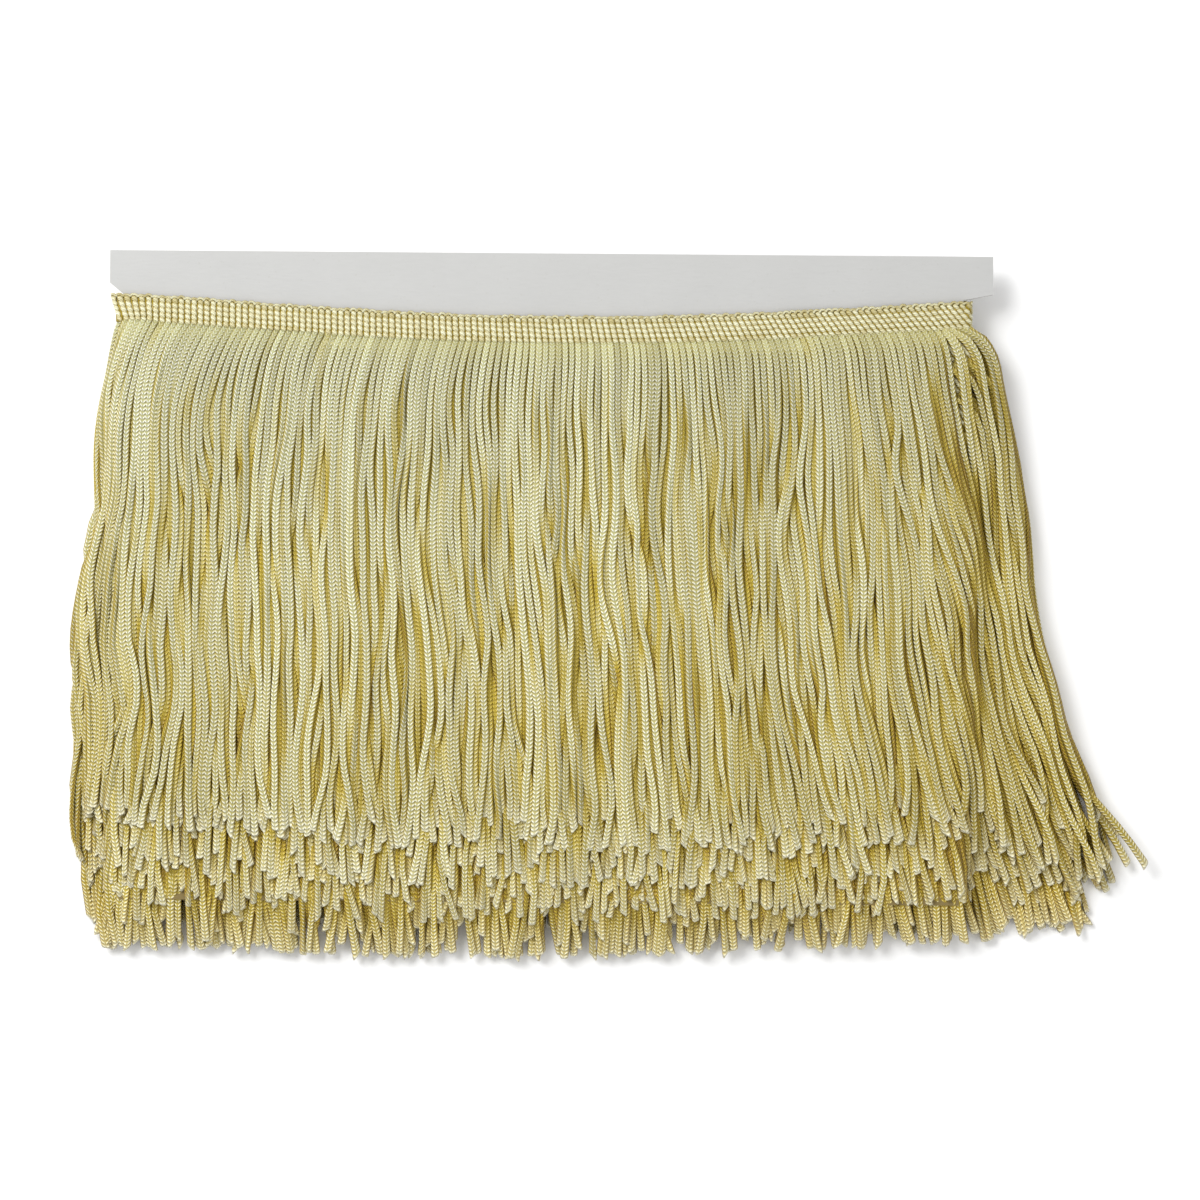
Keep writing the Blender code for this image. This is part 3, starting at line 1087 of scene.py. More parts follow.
@dataclass
class HeadingStitches:
    """Columns of round stitches on the heading's outer face, and the small loops of its upper edge.

    A column is a tube up the heading whose width and depth swell once a stitch. Its upper end lies
    back along the strip near the right edge of the card, where the heading was pulled tight.

    Attributes:
        strip: The heading.
        rows: Stitches in a column.
        half_width: Half the width of a stitch.
        half_depth: Half its depth.
        stand_off: How far a column's middle line stands off the ground's face.
        lift: How much further the middle of the most raised stitch stands off.
        bead_power: How suddenly a stitch swells. Under 1 gives it a blunt end.
        uneven: How far the stitches are shifted up or down a column, in stitches.
        sway: How far a column swings to either side once a stitch.
        loop_rise: How far a loop stands over the upper edge.
        loop_radius: Half the thickness of the loop's yarn.
        loop_uneven: How much more some loops rise, as a share of the heading's height.
    """

    strip: HeadingStrip
    rows: int = 5
    half_width: float = 0.00104
    half_depth: float = 0.00070
    stand_off: float = 0.00005
    lift: float = 0.00012
    bead_power: float = 0.55
    uneven: float = 0.09
    sway: float = 0.00018
    loop_rise: float = 0.00025
    loop_radius: float = 0.00050
    loop_uneven: float = 0.03

    # Height of a column's lower end, and its length, as shares of the heading's height
    COLUMN_START = 0.02
    COLUMN_LENGTH = 0.95
    # Where the stitches of the bottom row end and those of the top row start, up a column
    BOTTOM_ROW = (0.10, 0.24)
    TOP_ROW = (0.74, 0.86)
    BOTTOM_DIM = 0.8
    # How much darker a stitch is by its own random number, and how much more in the top and bottom rows
    DIMMED = 0.30
    EDGE_DIMMED = 0.22
    EDGE_DIMMED_BY_NUMBER = (0.3, 1.4)
    # Shares of a column's width, depth and brightness between its stitches, and what each gains on
    # top of one. The lower brightness between the stitches is painted shade. One more share of the width
    # goes by the stitch's random number
    WIDTH_BY_BEAD = (0.80, 0.20)
    DEPTH_BY_BEAD = (0.55, 0.45)
    BRIGHT_BY_BEAD = (0.20, 0.80)
    WIDTH_BY_NUMBER = (0.96, 0.08)
    # The loops' feet and what is above them, as shares of the heading's height
    LOOP_FOOT = 0.93
    ABOVE_FOOT = 0.07
    # How far a loop stands off the ground's face, and how much more so at its first foot
    LOOP_OUT = 0.00025
    LOOP_SPLAY = 0.0001
    # What makes the row of loops uneven: a sine of each one's number, to a power, times this
    LOOP_POWER = 1.3
    LOOP_CHANCE = 12.9
    LOOP_BRIGHT = (0.55, 0.25)
    # Rings and sides of a loop, and of a column on the outermost turn's front, its back, and the inner
    # turns' fronts
    LOOP_MESH = (8, 6)
    FRONT_MESH = (26, 8)
    BACK_MESH = (16, 6)
    INNER_MESH = (13, 6)

    def _columns(self, gone: np.ndarray, rings: int, sides: int) -> Tubes:
        """The columns whose lower ends are at lengths along the strip.

        A stitch has its own random number, which sets how far it is raised, how wide it is and how
        dark. The stitches of the top and bottom rows are darker.

        Args:
            gone: Lengths along the strip.
            rings: Rings to a column.
            sides: Sides of a column.

        Returns:
            The tubes.
        """
        strip = self.strip
        generator = np.random.default_rng(len(gone))
        share = np.linspace(0.0, 1.0, rings)[None] * np.ones((len(gone), 1))
        shift = generator.normal(0.0, self.uneven, len(gone))[:, None] * np.sin(np.pi * share)
        row = self.rows * share + shift
        bead = np.abs(np.sin(np.pi * row)) ** self.bead_power
        each = generator.uniform(0.0, 1.0, (len(gone), self.rows + 2))
        of_bead = np.take_along_axis(each, np.clip(row + 1.0, 0, self.rows + 1).astype(int), 1)
        leant = strip.lie_back(gone)[:, None]
        places = gone[:, None] - leant * share + self.sway * np.sin(2.0 * np.pi * row)
        narrow = 1.0 / np.sqrt(1.0 + (leant / strip.height) ** 2)
        out = strip.thickness / 2 + self.stand_off + self.lift * of_bead * bead
        bottom_row = self.BOTTOM_DIM - self.BOTTOM_DIM * smooth_step(share, *self.BOTTOM_ROW)
        edge_row = np.maximum(smooth_step(share, *self.TOP_ROW), bottom_row)
        dimmed = self.DIMMED * of_bead + self.EDGE_DIMMED * edge_row * rising(self.EDGE_DIMMED_BY_NUMBER, of_bead)
        up = self.COLUMN_START + self.COLUMN_LENGTH * share
        wide = self.half_width * narrow * rising(self.WIDTH_BY_BEAD, bead)
        return Tubes(
            paths=strip.point(places, up, out) + np.array(strip.origin),
            half_widths=wide * rising(self.WIDTH_BY_NUMBER, of_bead),
            half_depths=self.half_depth * rising(self.DEPTH_BY_BEAD, bead),
            faces=strip.outward(places),
            profile=grooved_profile(sides, 0.0, 1.0),
            along=share * self.rows,
            marks={"bead": rising(self.BRIGHT_BY_BEAD, bead) * (1.0 - dimmed)},
        )

    def _loops(self, gone: np.ndarray) -> Tubes:
        """A small half round of yarn over the upper edge at each column.

        Args:
            gone: Lengths along the strip of the columns' lower ends.

        Returns:
            The tubes.
        """
        strip = self.strip
        rings, sides = self.LOOP_MESH
        angle = np.linspace(0.0, np.pi, rings)[None]
        top = (gone - strip.lie_back(gone))[:, None]
        places = top - 0.5 * strip.column_pitch * np.cos(angle)
        number = np.arange(len(gone))[:, None] ** self.LOOP_POWER
        rise = self.ABOVE_FOOT + self.loop_rise / strip.height
        rise = rise + self.loop_uneven * np.sin(self.LOOP_CHANCE * number)
        out = strip.thickness / 2 + self.LOOP_OUT + self.LOOP_SPLAY * np.cos(angle) + 0.0 * top
        radius = np.full_like(places, self.loop_radius)
        return Tubes(
            paths=strip.point(places, self.LOOP_FOOT + rise * np.sin(angle), out) + np.array(strip.origin),
            half_widths=radius,
            half_depths=radius,
            faces=strip.outward(places),
            profile=grooved_profile(sides, 0.0, 1.0),
            along=angle / 2.0 + 0.0 * top,
            marks={"bead": rising(self.LOOP_BRIGHT, np.sin(angle + number))},
        )

    def build(self, material: bpy.types.Material) -> list[bpy.types.Object]:
        """Makes the columns of the outermost turn, front and back, of the inner fronts, and the loops.

        Args:
            material: The finish.

        Returns:
            The pieces.
        """
        gone = self.strip.columns()
        turn = self.strip.at("turn", gone)
        place = self.strip.at("place", gone)
        outer, front = turn == 1, place != Place.BACK.value
        return [
            self._columns(gone[outer & front], *self.FRONT_MESH).build("heading_stitches_front", material),
            self._columns(gone[outer & ~front], *self.BACK_MESH).build("heading_stitches_back", material),
            self._columns(gone[~outer & front], *self.INNER_MESH).build("heading_stitches_inner", material),
            self._loops(gone[outer]).build("heading_loops", material),
        ]


@dataclass
class CordBed:
    """Every cord of the fringe, on slices straight across it from the heading to past the last tips.

    Attributes:
        root: Where each cord leaves the heading, in the card frame, cords by 3.
        outward: The heading's outward direction there, cords by 3.
        length: Length of each cord.
        turn: Its turn, 1 outermost.
        place: Its part of the turn, as a number of Place.
        leg: Its leg of the loop, as a number of Leg.
        root_lean: How steeply it leaves the heading sideways, as X gone for each length down.
        slices: Y of the slices, downwards.
        x: X of each cord at each slice, slices by cords.
        z: Z of each cord at each slice.
        wanted: X that each cord would have if none were in its way.
    """

    root: np.ndarray
    outward: np.ndarray
    length: np.ndarray
    turn: np.ndarray
    place: np.ndarray
    leg: np.ndarray
    root_lean: np.ndarray
    slices: np.ndarray
    x: np.ndarray
    z: np.ndarray
    wanted: np.ndarray

    # X at which cords that don't reach a slice are put, out of the way of all others
    FAR = 10.0

    def below_root(self) -> np.ndarray:
        """How far each slice lies below each cord's root, slices by cords."""
        return self.root[None, :, 1] - self.slices[:, None]

    def gone(self) -> np.ndarray:
        """Length of each cord from its root to each slice, from its own course."""
        below = self.below_root()
        step = np.clip(np.diff(below, axis=0, prepend=0.0), 0.0, np.maximum(below, 0.0))
        slope_x = np.diff(self.x, axis=0, prepend=self.x[:1])
        slope_z = np.diff(self.z, axis=0, prepend=self.z[:1])
        step = np.where(below > 0.0, step, 0.0)
        sideways = np.where(step > 0.0, slope_x**2 + slope_z**2, 0.0)
        return np.cumsum(np.sqrt(step**2 + sideways), axis=0)

    def in_rows(self, alive: np.ndarray) -> tuple[np.ndarray, np.ndarray, np.ndarray]:
        """Sorts the cords of each slice by X.

        Args:
            alive: Where each cord reaches each slice.

        Returns:
            Their X and their Z in that order, and the place of each cord in it.
        """
        count = self.x.shape[1]
        x = np.where(alive, self.x, self.FAR + np.arange(count)[None])
        order = np.argsort(x, axis=1)
        place = np.empty_like(order)
        np.put_along_axis(place, order, np.broadcast_to(np.arange(count), x.shape), 1)
        return np.take_along_axis(x, order, 1), np.take_along_axis(self.z, order, 1), place


@dataclass
class Settling:
    """Lets limp cords sink onto the card, the floor and each other, in small rounds.

    In each round every cord sinks a little, is drawn towards its wanted course, is smoothed along
    its length, and is pushed off each cord that it overlaps. A pair overlaps where the distance
    between the two, with X in cord widths and Z in cord thicknesses, is under 1. Pairs are found
    by sorting the cords of a slice by X.

    Attributes:
        strip: The heading that the cords hang from.
        card_half: Half the card's thickness.
        card_left: X of the card's left edge below its rim.
        card_right: X of its right edge.
        card_bottom: Y of its lower edge.
        floor: Z of the floor in the card frame.
        width: Width of a cord.
        thickness: Thickness of a cord.
        held_length: How far below its root a cord is still held in its place sideways.
        rounds: How many rounds there are.
        sink: How far a cord sinks in the first round. It sinks less in each later one.
        draw: Share of the way to its wanted course that it is drawn back in a round.
        limp: Share of the smoothing along its length.
        push: Share of an overlap that is cleared at once.
        neighbours: How many places further on in the sorted row a cord may touch another.
        on_heading: Gap between a heading's ground and the cords that lie on it.
        climb: How far below its root a cord has climbed onto the headings under it.
        leave: How far below the last of them it has come down to the card.
        over_floor: Least height of a cord's middle over the floor, in cord widths.
        least_give: Share of a sideways push that a cord takes at its root.
        held_start: How far below its root it starts to take more.
        spare: How far past its cut end a cord still takes part.
        sink_loss: Share of the sinking that is gone in the last round.
    """

    strip: HeadingStrip
    card_half: float
    card_left: float
    card_right: float
    card_bottom: float
    floor: float
    width: float = 0.00245
    thickness: float = 0.0019
    held_length: float = 0.055
    rounds: int = 150
    sink: float = 0.00016
    draw: float = 0.02
    limp: float = 0.45
    push: float = 0.38
    neighbours: int = 22
    on_heading: float = 0.0006
    climb: float = 0.0022
    leave: float = 0.006
    over_floor: float = 0.66
    least_give: float = 0.08
    held_start: float = 0.008
    spare: float = 0.004
    sink_loss: float = 0.8

    # Added to each distance between two cords, so that none is zero
    TINY = 1e-6

    def _push_apart(self, bed: CordBed, alive: np.ndarray, give: np.ndarray) -> None:
        """Moves overlapping cords of each slice apart.

        Args:
            bed: The cords.
            alive: Where each cord reaches each slice.
            give: Share of a sideways push that each cord takes.
        """
        x, z, place = bed.in_rows(alive)
        move_x = np.zeros_like(x)
        move_z = np.zeros_like(z)
        for offset in range(1, self.neighbours + 1):
            gap_x = (x[:, offset:] - x[:, :-offset]) / self.width
            if gap_x.min() >= 1.0:
                break
            gap_z = (z[:, offset:] - z[:, :-offset]) / self.thickness
            apart = np.sqrt(gap_x**2 + gap_z**2) + self.TINY
            share = np.where(apart < 1.0, (1.0 - apart) / apart * self.push * 0.5, 0.0)
            give_x = share * gap_x * self.width
            give_z = share * gap_z * self.thickness
            move_x[:, offset:] += give_x
            move_x[:, :-offset] -= give_x
            move_z[:, offset:] += give_z
            move_z[:, :-offset] -= give_z
        bed.x += np.where(alive, give * np.take_along_axis(move_x, place, 1), 0.0)
        bed.z += np.where(alive, np.take_along_axis(move_z, place, 1), 0.0)

    def _near_height(self, bed: CordBed) -> np.ndarray:
        """How far the headings under a cord hold its middle off the card's middle plane.

        Args:
            bed: The cords.

        Returns:
            Heights, slices by cords.
        """
        strip = self.strip
        on_heading = strip.middle_radius + strip.thickness / 2 + self.on_heading + self.thickness / 2
        on_card = self.card_half + self.thickness / 2
        last_heading = (strip.turns - bed.turn) * strip.turn_pitch
        below = bed.below_root()
        climb = smooth_step(below, 0.0, self.climb) * (bed.turn < strip.turns)
        leave = smooth_step(below, last_heading, last_heading + self.leave)
        return on_card + (on_heading - on_card) * climb * (1.0 - leave)

    def _stay_out(self, bed: CordBed, near: np.ndarray) -> None:
        """Keeps the cords out of the card, off the inner headings and above the floor.

        Args:
            bed: The cords.
            near: Least distance from the card's middle plane.
        """
        half = self.width / 2
        above_bottom = bed.slices[:, None] > self.card_bottom
        over_card = (bed.x > self.card_left - half) & (bed.x < self.card_right + half) & above_bottom
        front = bed.place[None] == Place.FRONT.value
        back = bed.place[None] == Place.BACK.value
        bed.z = np.where(over_card & front, np.maximum(bed.z, near), bed.z)
        bed.z = np.where(over_card & back, np.minimum(bed.z, -near), bed.z)
        beside = (bed.place[None] == Place.BEND.value) & (np.abs(bed.z) < near) & above_bottom
        middle = (self.card_left + self.card_right) / 2
        clear = near - self.card_half
        bed.x = np.where(beside & (bed.x > middle), np.maximum(bed.x, self.card_right + clear), bed.x)
        bed.x = np.where(beside & (bed.x < middle), np.minimum(bed.x, self.card_left - clear), bed.x)
        bed.z = np.maximum(bed.z, self.floor + self.over_floor * self.width)

    def _smooth(self, bed: CordBed) -> None:
        """Smooths each cord's sideways stray and its height along its length."""
        stray = bed.x - bed.wanted
        stray[1:-1] += self.limp * ((stray[:-2] + stray[2:]) / 2 - stray[1:-1])
        stray[-1] = stray[-2]
        bed.x = bed.wanted + stray * (1.0 - self.draw)
        bed.z[1:-1] += self.limp * ((bed.z[:-2] + bed.z[2:]) / 2 - bed.z[1:-1])
        bed.z[-1] = 2.0 * bed.z[-2] - bed.z[-3]

    def settle(self, bed: CordBed) -> None:
        """Runs all rounds and leaves the settled courses in the bed.

        Args:
            bed: The cords, at their first places.
        """
        above_root = bed.below_root() <= 0.0
        root_x = np.broadcast_to(bed.root[:, 0], bed.x.shape)
        root_z = np.broadcast_to(bed.root[:, 2], bed.z.shape)
        near = self._near_height(bed)
        freed = smooth_step(bed.below_root(), self.held_start, self.held_length)
        give = self.least_give + (1.0 - self.least_give) * freed
        for count in range(self.rounds):
            alive = ~above_root & (bed.gone() < bed.length + self.spare)
            bed.z -= self.sink * (1.0 - self.sink_loss * count / self.rounds)
            self._smooth(bed)
            self._push_apart(bed, alive, give)
            self._stay_out(bed, near)
            bed.x = np.where(above_root, root_x, bed.x)
            bed.z = np.where(above_root, root_z, bed.z)


@dataclass(frozen=True)
class Drape:
    """The courses that the cords would take if none were in another's way, seen from the front.

    Pairs whose names end in down or across say where an ease starts and where it is full. Across is
    the share of the way from the left bends of the heading to the right ones. Down is the distance
    below the root or, for what the tips do, the share of a cord's length.

    Attributes:
        strip: The heading that the cords hang from.
        cord_length: Length that shares of a cord are counted in.
    """

    strip: HeadingStrip
    cord_length: float

    # Sideways shifts by distance below the root. On the right the last few cords kick out at once,
    # and all near that end lean out slowly. On the left the edge leans out
    KICK = (
        (0.0, 0.0), (0.0037, 0.0055), (0.011, 0.0090), (0.026, 0.0113), (0.048, 0.0137), (0.070, 0.0130),
        (0.095, 0.0108), (0.120, 0.0120), (0.140, 0.0145), (0.167, 0.0165), (0.197, 0.0205), (0.210, 0.0245),
    )
    RIGHT_LEAN = (
        (0.026, 0.0), (0.045, 0.0013), (0.084, 0.0064), (0.120, 0.012), (0.150, 0.018), (0.200, 0.032),
    )
    LEFT_LEAN = (
        (0.0, 0.0), (0.012, 0.0015), (0.028, 0.0027), (0.045, 0.0030), (0.068, 0.0032), (0.098, 0.0090),
        (0.120, 0.0118), (0.143, 0.0088), (0.172, 0.0105), (0.205, 0.0138),
    )
    LEAN_POWER = 4.0
    # Share of the right lean that the innermost turn's cords on the front leave out
    INNER_LEAN_LOSS = 0.4
    # Cords combed to the left under the heading: the shift by share of the way across
    COMBED = (
        (0.0, 0.003), (0.04, 0.007), (0.10, 0.0095), (0.25, 0.0075), (0.41, 0.0058), (0.50, 0.0012),
        (0.62, 0.0),
    )
    # Distances below the root in which most of the comb's shift is made, and most of the turn out of
    # the lean that a cord has where it leaves the heading
    COMB_EASE = 0.016
    ROOT_EASE = 0.005
    # Where across the kick starts and is full. The outermost turn's cords kick in bunches, of this
    # share of the way each, and the inner cords of the loops on the bends take a share of the kick
    OUTER_KICK = (0.964, 0.982)
    INNER_KICK = (0.968, 0.974)
    BUNCH = 0.006
    UNDER_KICK = 0.6
    # The cords beside them follow with a share of the kick. On the inner turns the distance down is
    # from the card's top edge
    FOLLOW = 0.85
    FOLLOW_ACROSS = (0.84, 0.970)
    OUTER_FOLLOW_DOWN = (0.02, 0.15)
    INNER_FOLLOW_DOWN = (0.062, 0.110)
    # The inner turns' last cords before the kick are parted to the left, which opens a gap: how far,
    # most where across, up to where, over what reach, how soon below the root, and where it closes
    PART_SHIFT = 0.0085
    PART_ACROSS = 0.970
    PART_LAST = 0.971
    PART_REACH = 0.022
    PART_EASE = 0.003
    PART_CLOSES_DOWN = (0.025, 0.090)
    # Slope of all cords, which hang straight in a photo that is a little turned
    HANG_SLOPE = 0.00785
    # The middle of the fringe sways to the right
    MIDDLE_SWAY = 0.0035
    MIDDLE_SWAY_DOWN = (0.02, 0.15)
    # Some cords that hang from the right bends stand off: the turn, where it starts, how far it goes
    STRAYS = ((3, 0.125, 0.030), (2, 0.135, 0.013), (4, 0.150, 0.015), (1, 0.165, 0.012))
    STRAY_END = 0.205
    STRAY_POWER = 0.8
    # Tips near the left end curl back to the right
    TIP_CURL = 0.009
    TIP_CURL_POWER = 14.0
    TIP_CURL_DOWN = (0.92, 1.12)
    # Where cords become free to wander
    FREE_DOWN = (0.002, 0.055)
    # Waves that neighbours share: reach, width and length. The inner turns have a share of them
    SHARED_WAVES = ((0.0016, 0.050, 0.200), (0.0013, 0.012, 0.130))
    INNER_WAVES = 0.5
    # Lengths of each cord's own waves, and the usual reach of one of OWN_WAVE's length. Their
    # strength at the root, and how much it grows down to the tip
    OWN_WAVES = (0.150, 0.085)
    OWN_REACH = 0.00045
    OWN_WAVE = 0.1
    OWN_GROWTH = (0.45, 0.75)
    # Usual stray of a tip by a slow drift and by a late curl, which is stronger at the right end
    DRIFT = 0.0023
    CURL = 0.0031
    RIGHT_CURL = 0.0024
    RIGHT_CURL_POWER = 6
    CURL_DOWN = (0.84, 1.08)
    CURL_POWER = 1.5

    def _right_shift(self, bed: CordBed, below: np.ndarray, across: np.ndarray) -> np.ndarray:
        """How far the cords are shifted to the right by the lean, the kick and the parting there.

        Args:
            bed: The cords.
            below: How far each slice lies below each root.
            across: Share of the way along the heading of each root, 1 by cords.

        Returns:
            Shifts, slices by cords.
        """
        inner = bed.turn > 1
        lean = read_curve(self.RIGHT_LEAN, below) * across**self.LEAN_POWER
        loss = self.INNER_LEAN_LOSS * (bed.turn - 1.0) / (self.strip.turns - 1.0)
        right = lean * (1.0 - loss * (bed.place == Place.FRONT.value))
        start, full = (np.where(inner, *pair)[None] for pair in zip(self.INNER_KICK, self.OUTER_KICK))
        bunched = np.where(inner, across, np.round(across / self.BUNCH) * self.BUNCH)
        kicked = smooth_step(bunched, start, full)
        follows = (1.0 - kicked) * smooth_step(across, *self.FOLLOW_ACROSS) * self.FOLLOW
        inner_down = smooth_step(-bed.slices[:, None], *self.INNER_FOLLOW_DOWN)
        follows = follows * np.where(inner, inner_down, smooth_step(below, *self.OUTER_FOLLOW_DOWN))
        under = (bed.leg == Leg.INNER.value) & (bed.place == Place.BEND.value)
        right += read_curve(self.KICK, below) * (kicked * np.where(under, self.UNDER_KICK, 1.0) + follows)
        parted = np.exp(-np.maximum(self.PART_ACROSS - across, 0.0) / self.PART_REACH)
        parted = parted * (across < self.PART_LAST) * (1.0 - np.exp(-below / self.PART_EASE))
        right -= self.PART_SHIFT * parted * inner * (1.0 - smooth_step(below, *self.PART_CLOSES_DOWN))
        return right

    def _left_shift(self, below: np.ndarray, across: np.ndarray) -> np.ndarray:
        """How far the cords are shifted to the left by the lean and the combing there.

        Args:
            below: How far each slice lies below each root.
            across: Share of the way along the heading of each root, 1 by cords.

        Returns:
            Shifts, slices by cords.
        """
        left = read_curve(self.LEFT_LEAN, below) * (1.0 - across) ** self.LEAN_POWER
        left += read_curve(self.COMBED, across) * (1.0 - np.exp(-below / self.COMB_EASE))
        return left

    def _own_wander(
        self, generator: np.random.Generator, below: np.ndarray, across: np.ndarray
    ) -> np.ndarray:
        """How far each cord strays from its neighbours' course: two waves, a drift and a curl.

        Args:
            generator: The source of the random choices.
            below: How far each slice lies below each root.
            across: Share of the way along the heading of each root, 1 by cords.

        Returns:
            Distances, slices by cords.
        """
        down = below / self.cord_length
        count = below.shape[1]
        own = np.zeros_like(below)
        for wave in self.OWN_WAVES:
            phase = generator.uniform(0.0, 2.0 * np.pi, count)
            reach = generator.normal(0.0, self.OWN_REACH * wave / self.OWN_WAVE, count)
            own += reach * np.sin(2.0 * np.pi * below / wave + phase)
        own *= rising(self.OWN_GROWTH, down)
        own += generator.normal(0.0, self.DRIFT, count) * down**2
        curl = smooth_step(down, *self.CURL_DOWN) ** self.CURL_POWER
        reach = self.CURL + self.RIGHT_CURL * across[0] ** self.RIGHT_CURL_POWER
        own += generator.normal(0.0, reach, count) * curl
        return own

    def courses(self, generator: np.random.Generator, bed: CordBed) -> np.ndarray:
        """Each cord's course: fan, strays, waves that it shares with others, and its own wander.

        Args:
            generator: The source of the random choices.
            bed: The cords.

        Returns:
            X at each slice.
        """
        x = bed.root[None, :, 0]
        below = np.maximum(bed.below_root(), 0.0)
        down = below / self.cord_length
        across = np.clip(self.strip.across(x), 0.0, 1.0)
        right = self._right_shift(bed, below, across)
        left = self._left_shift(below, across)
        lean = bed.root_lean * self.ROOT_EASE * (1.0 - np.exp(-below / self.ROOT_EASE))
        course = x + right - left + lean + self.HANG_SLOPE * below
        course += self.MIDDLE_SWAY * np.sin(np.pi * across) * smooth_step(below, *self.MIDDLE_SWAY_DOWN)
        tip_curl = self.TIP_CURL * (1.0 - across) ** self.TIP_CURL_POWER
        course += tip_curl * smooth_step(down, *self.TIP_CURL_DOWN)
        for turn, start, reach in self.STRAYS:
            of_turn = (bed.turn == turn) & (bed.place == Place.BEND.value)
            off = np.flatnonzero(of_turn & (x[0] > 0.0))[:1]
            course[:, off] += reach * smooth_step(below[:, off], start, self.STRAY_END) ** self.STRAY_POWER
        free = smooth_step(below, *self.FREE_DOWN)
        for turn in range(1, self.strip.turns + 1):
            share = 1.0 if turn == 1 else self.INNER_WAVES
            for place in Place:
                mine = (bed.turn == turn) & (bed.place == place.value)
                waves = 0.0
                for reach, width, length in self.SHARED_WAVES:
                    waves = waves + reach * ripple(generator, x[:, mine], below[:, mine], width, length)
                course[:, mine] += free[:, mine] * share * waves
        return course + free * self._own_wander(generator, below, across)


@dataclass(frozen=True)
class CordShape:
    """The tubes that show the cords: how each is twisted, swells, is cut off, and is marked.

    Attributes:
        strip: The heading that the cords hang from.
        settling: What they settled by, for their width and thickness.
        stitch: Length of a stitch.
        size: Usual width of a cord, in widths of the settling.
        size_spread: How much that usually differs.
        thickness: Thickness of a cord, in thicknesses of the settling.
        groove: Share of the thickness that the groove down each face takes away.
        fullness: The power that shapes its section.
        root_width: Share of its width that it has at its root.
        root_thickness: Share of its thickness that it has there.
        flare: How much wider it gets just over its cut end.
        cut_slant: How far from square the cut ends usually are, one side ahead of the cord's middle.
        most_slant: How far at most.
        tip_light: Share of its depth under others that a tip loses, where light comes in.
        tip_painted_light: Painted light that makes the innermost turn's tips brighter and warmer.
        root_shade: How much dimmer a cord is near its root.
    """

    strip: HeadingStrip
    settling: Settling
    stitch: float = 0.00151
    size: float = 1.14
    size_spread: float = 0.08
    thickness: float = 1.03
    groove: float = 0.16
    fullness: float = 0.95
    root_width: float = 0.86
    root_thickness: float = 0.55
    flare: float = 0.10
    cut_slant: float = 0.0009
    most_slant: float = 0.0016
    tip_light: float = 0.55
    tip_painted_light: float = 0.9
    root_shade: float = 0.35

    # Over 1 brings the rings closer together near the root. The last three rings make the cut end:
    # their shares of a cord's length, the sizes of the last two, and the slants of all three
    RING_POWER = 1.3
    END_START = 0.992
    END_SHARES = (0.9975, 1.0)
    END_SIZES = (1.08, 0.90)
    END_SLANTS = (0.6, 1.0, 1.0)
    # Least and most of a cord's own size, in usual differences
    SIZE_LIMITS = (-1.5, 2.0)
    # Where eases start and are full: by the length along a cord from its root
    WIDER_ALONG = (0.010, 0.060)
    THICKER_ALONG = (0.0, 0.012)
    TWIST_ALONG = (0.0, 0.03)
    HELD_ALONG = (0.001, 0.014)
    # The same, by the share of a cord's length
    TIP_LIGHT_DOWN = (0.84, 0.98)
    FLARE_DOWN = (0.955, 0.985)
    INNER_TIP_DOWN = (0.80, 0.96)
    NEAR_ROOT_DOWN = (0.05, 0.60)
    CUT_DOWN = (0.988, 0.998)
    # The same, by the share of the way from the left bends to the right ones. That for the left edge
    # is counted to the left
    LEFT_EDGE_ACROSS = (-0.03, 0.05)
    RIGHT_EDGE_ACROSS = (0.92, 1.02)
    OFF_LEFT_ACROSS = (0.0, 0.08)
    # Slow twists of a cord: length of the wave, and usual reach in radians. One more is steady
    TWISTS = ((0.11, 0.35), (0.05, 0.18))
    STEADY_TWIST = 0.20
    # One cord buries another that is less than this many widths beside it, in full when it lies this
    # many thicknesses higher
    OVERLAP = 1.05
    FULL_DEPTH = 1.3
    # Share of that depth lost at the left and the right side, and X to either side between which it
    # goes
    SIDE_LIGHT = ((0.85, 0.150, 0.164), (0.45, 0.152, 0.160))
    # How much painted warmth, for shade, is added: down a cord, to the right, on dim cords, at the left
    # and right edges. That on dim cords follows their own tone
    WARM_DOWN = 0.7
    WARM_RIGHT = 0.4
    WARM_DIM = 0.3
    WARM_LEFT_EDGE = 0.8
    WARM_RIGHT_EDGE = 0.35
    FURTHEST_RIGHT = 1.2

    def buried(self, bed: CordBed) -> np.ndarray:
        """How deep each cord lies under those beside it, seen from its nearer face.

        Near the sides, where light comes in from beside the fringe, it counts for less. The material paints
        this depth as shade.

        Args:
            bed: The settled cords.

        Returns:
            Depths, slices by cords.
        """
        gone = bed.gone()
        x, z, place = bed.in_rows((gone > 0.0) & (gone < bed.length))
        above, below = z.copy(), z.copy()
        for offset in range(1, self.settling.neighbours + 1):
            near = np.abs(x[:, offset:] - x[:, :-offset]) < self.settling.width * self.OVERLAP
            after, before = z[:, offset:], z[:, :-offset]
            for highest, pick in ((above, np.maximum), (below, np.minimum)):
                left, right = highest[:, :-offset], highest[:, offset:]
                highest[:, :-offset] = np.where(near, pick(left, after), left)
                highest[:, offset:] = np.where(near, pick(right, before), right)
        depth = np.take_along_axis(np.minimum(above - z, z - below), place, 1)
        depth = np.clip(depth / (self.FULL_DEPTH * self.settling.thickness), 0.0, 1.0)
        (left_light, *left_side), (right_light, *right_side) = self.SIDE_LIGHT
        lit = left_light * smooth_step(-bed.x, *left_side)
        depth *= 1.0 - lit - right_light * smooth_step(bed.x, *right_side)
        depth[1:-1] = (depth[:-2] + 2.0 * depth[1:-1] + depth[2:]) / 4.0
        return depth

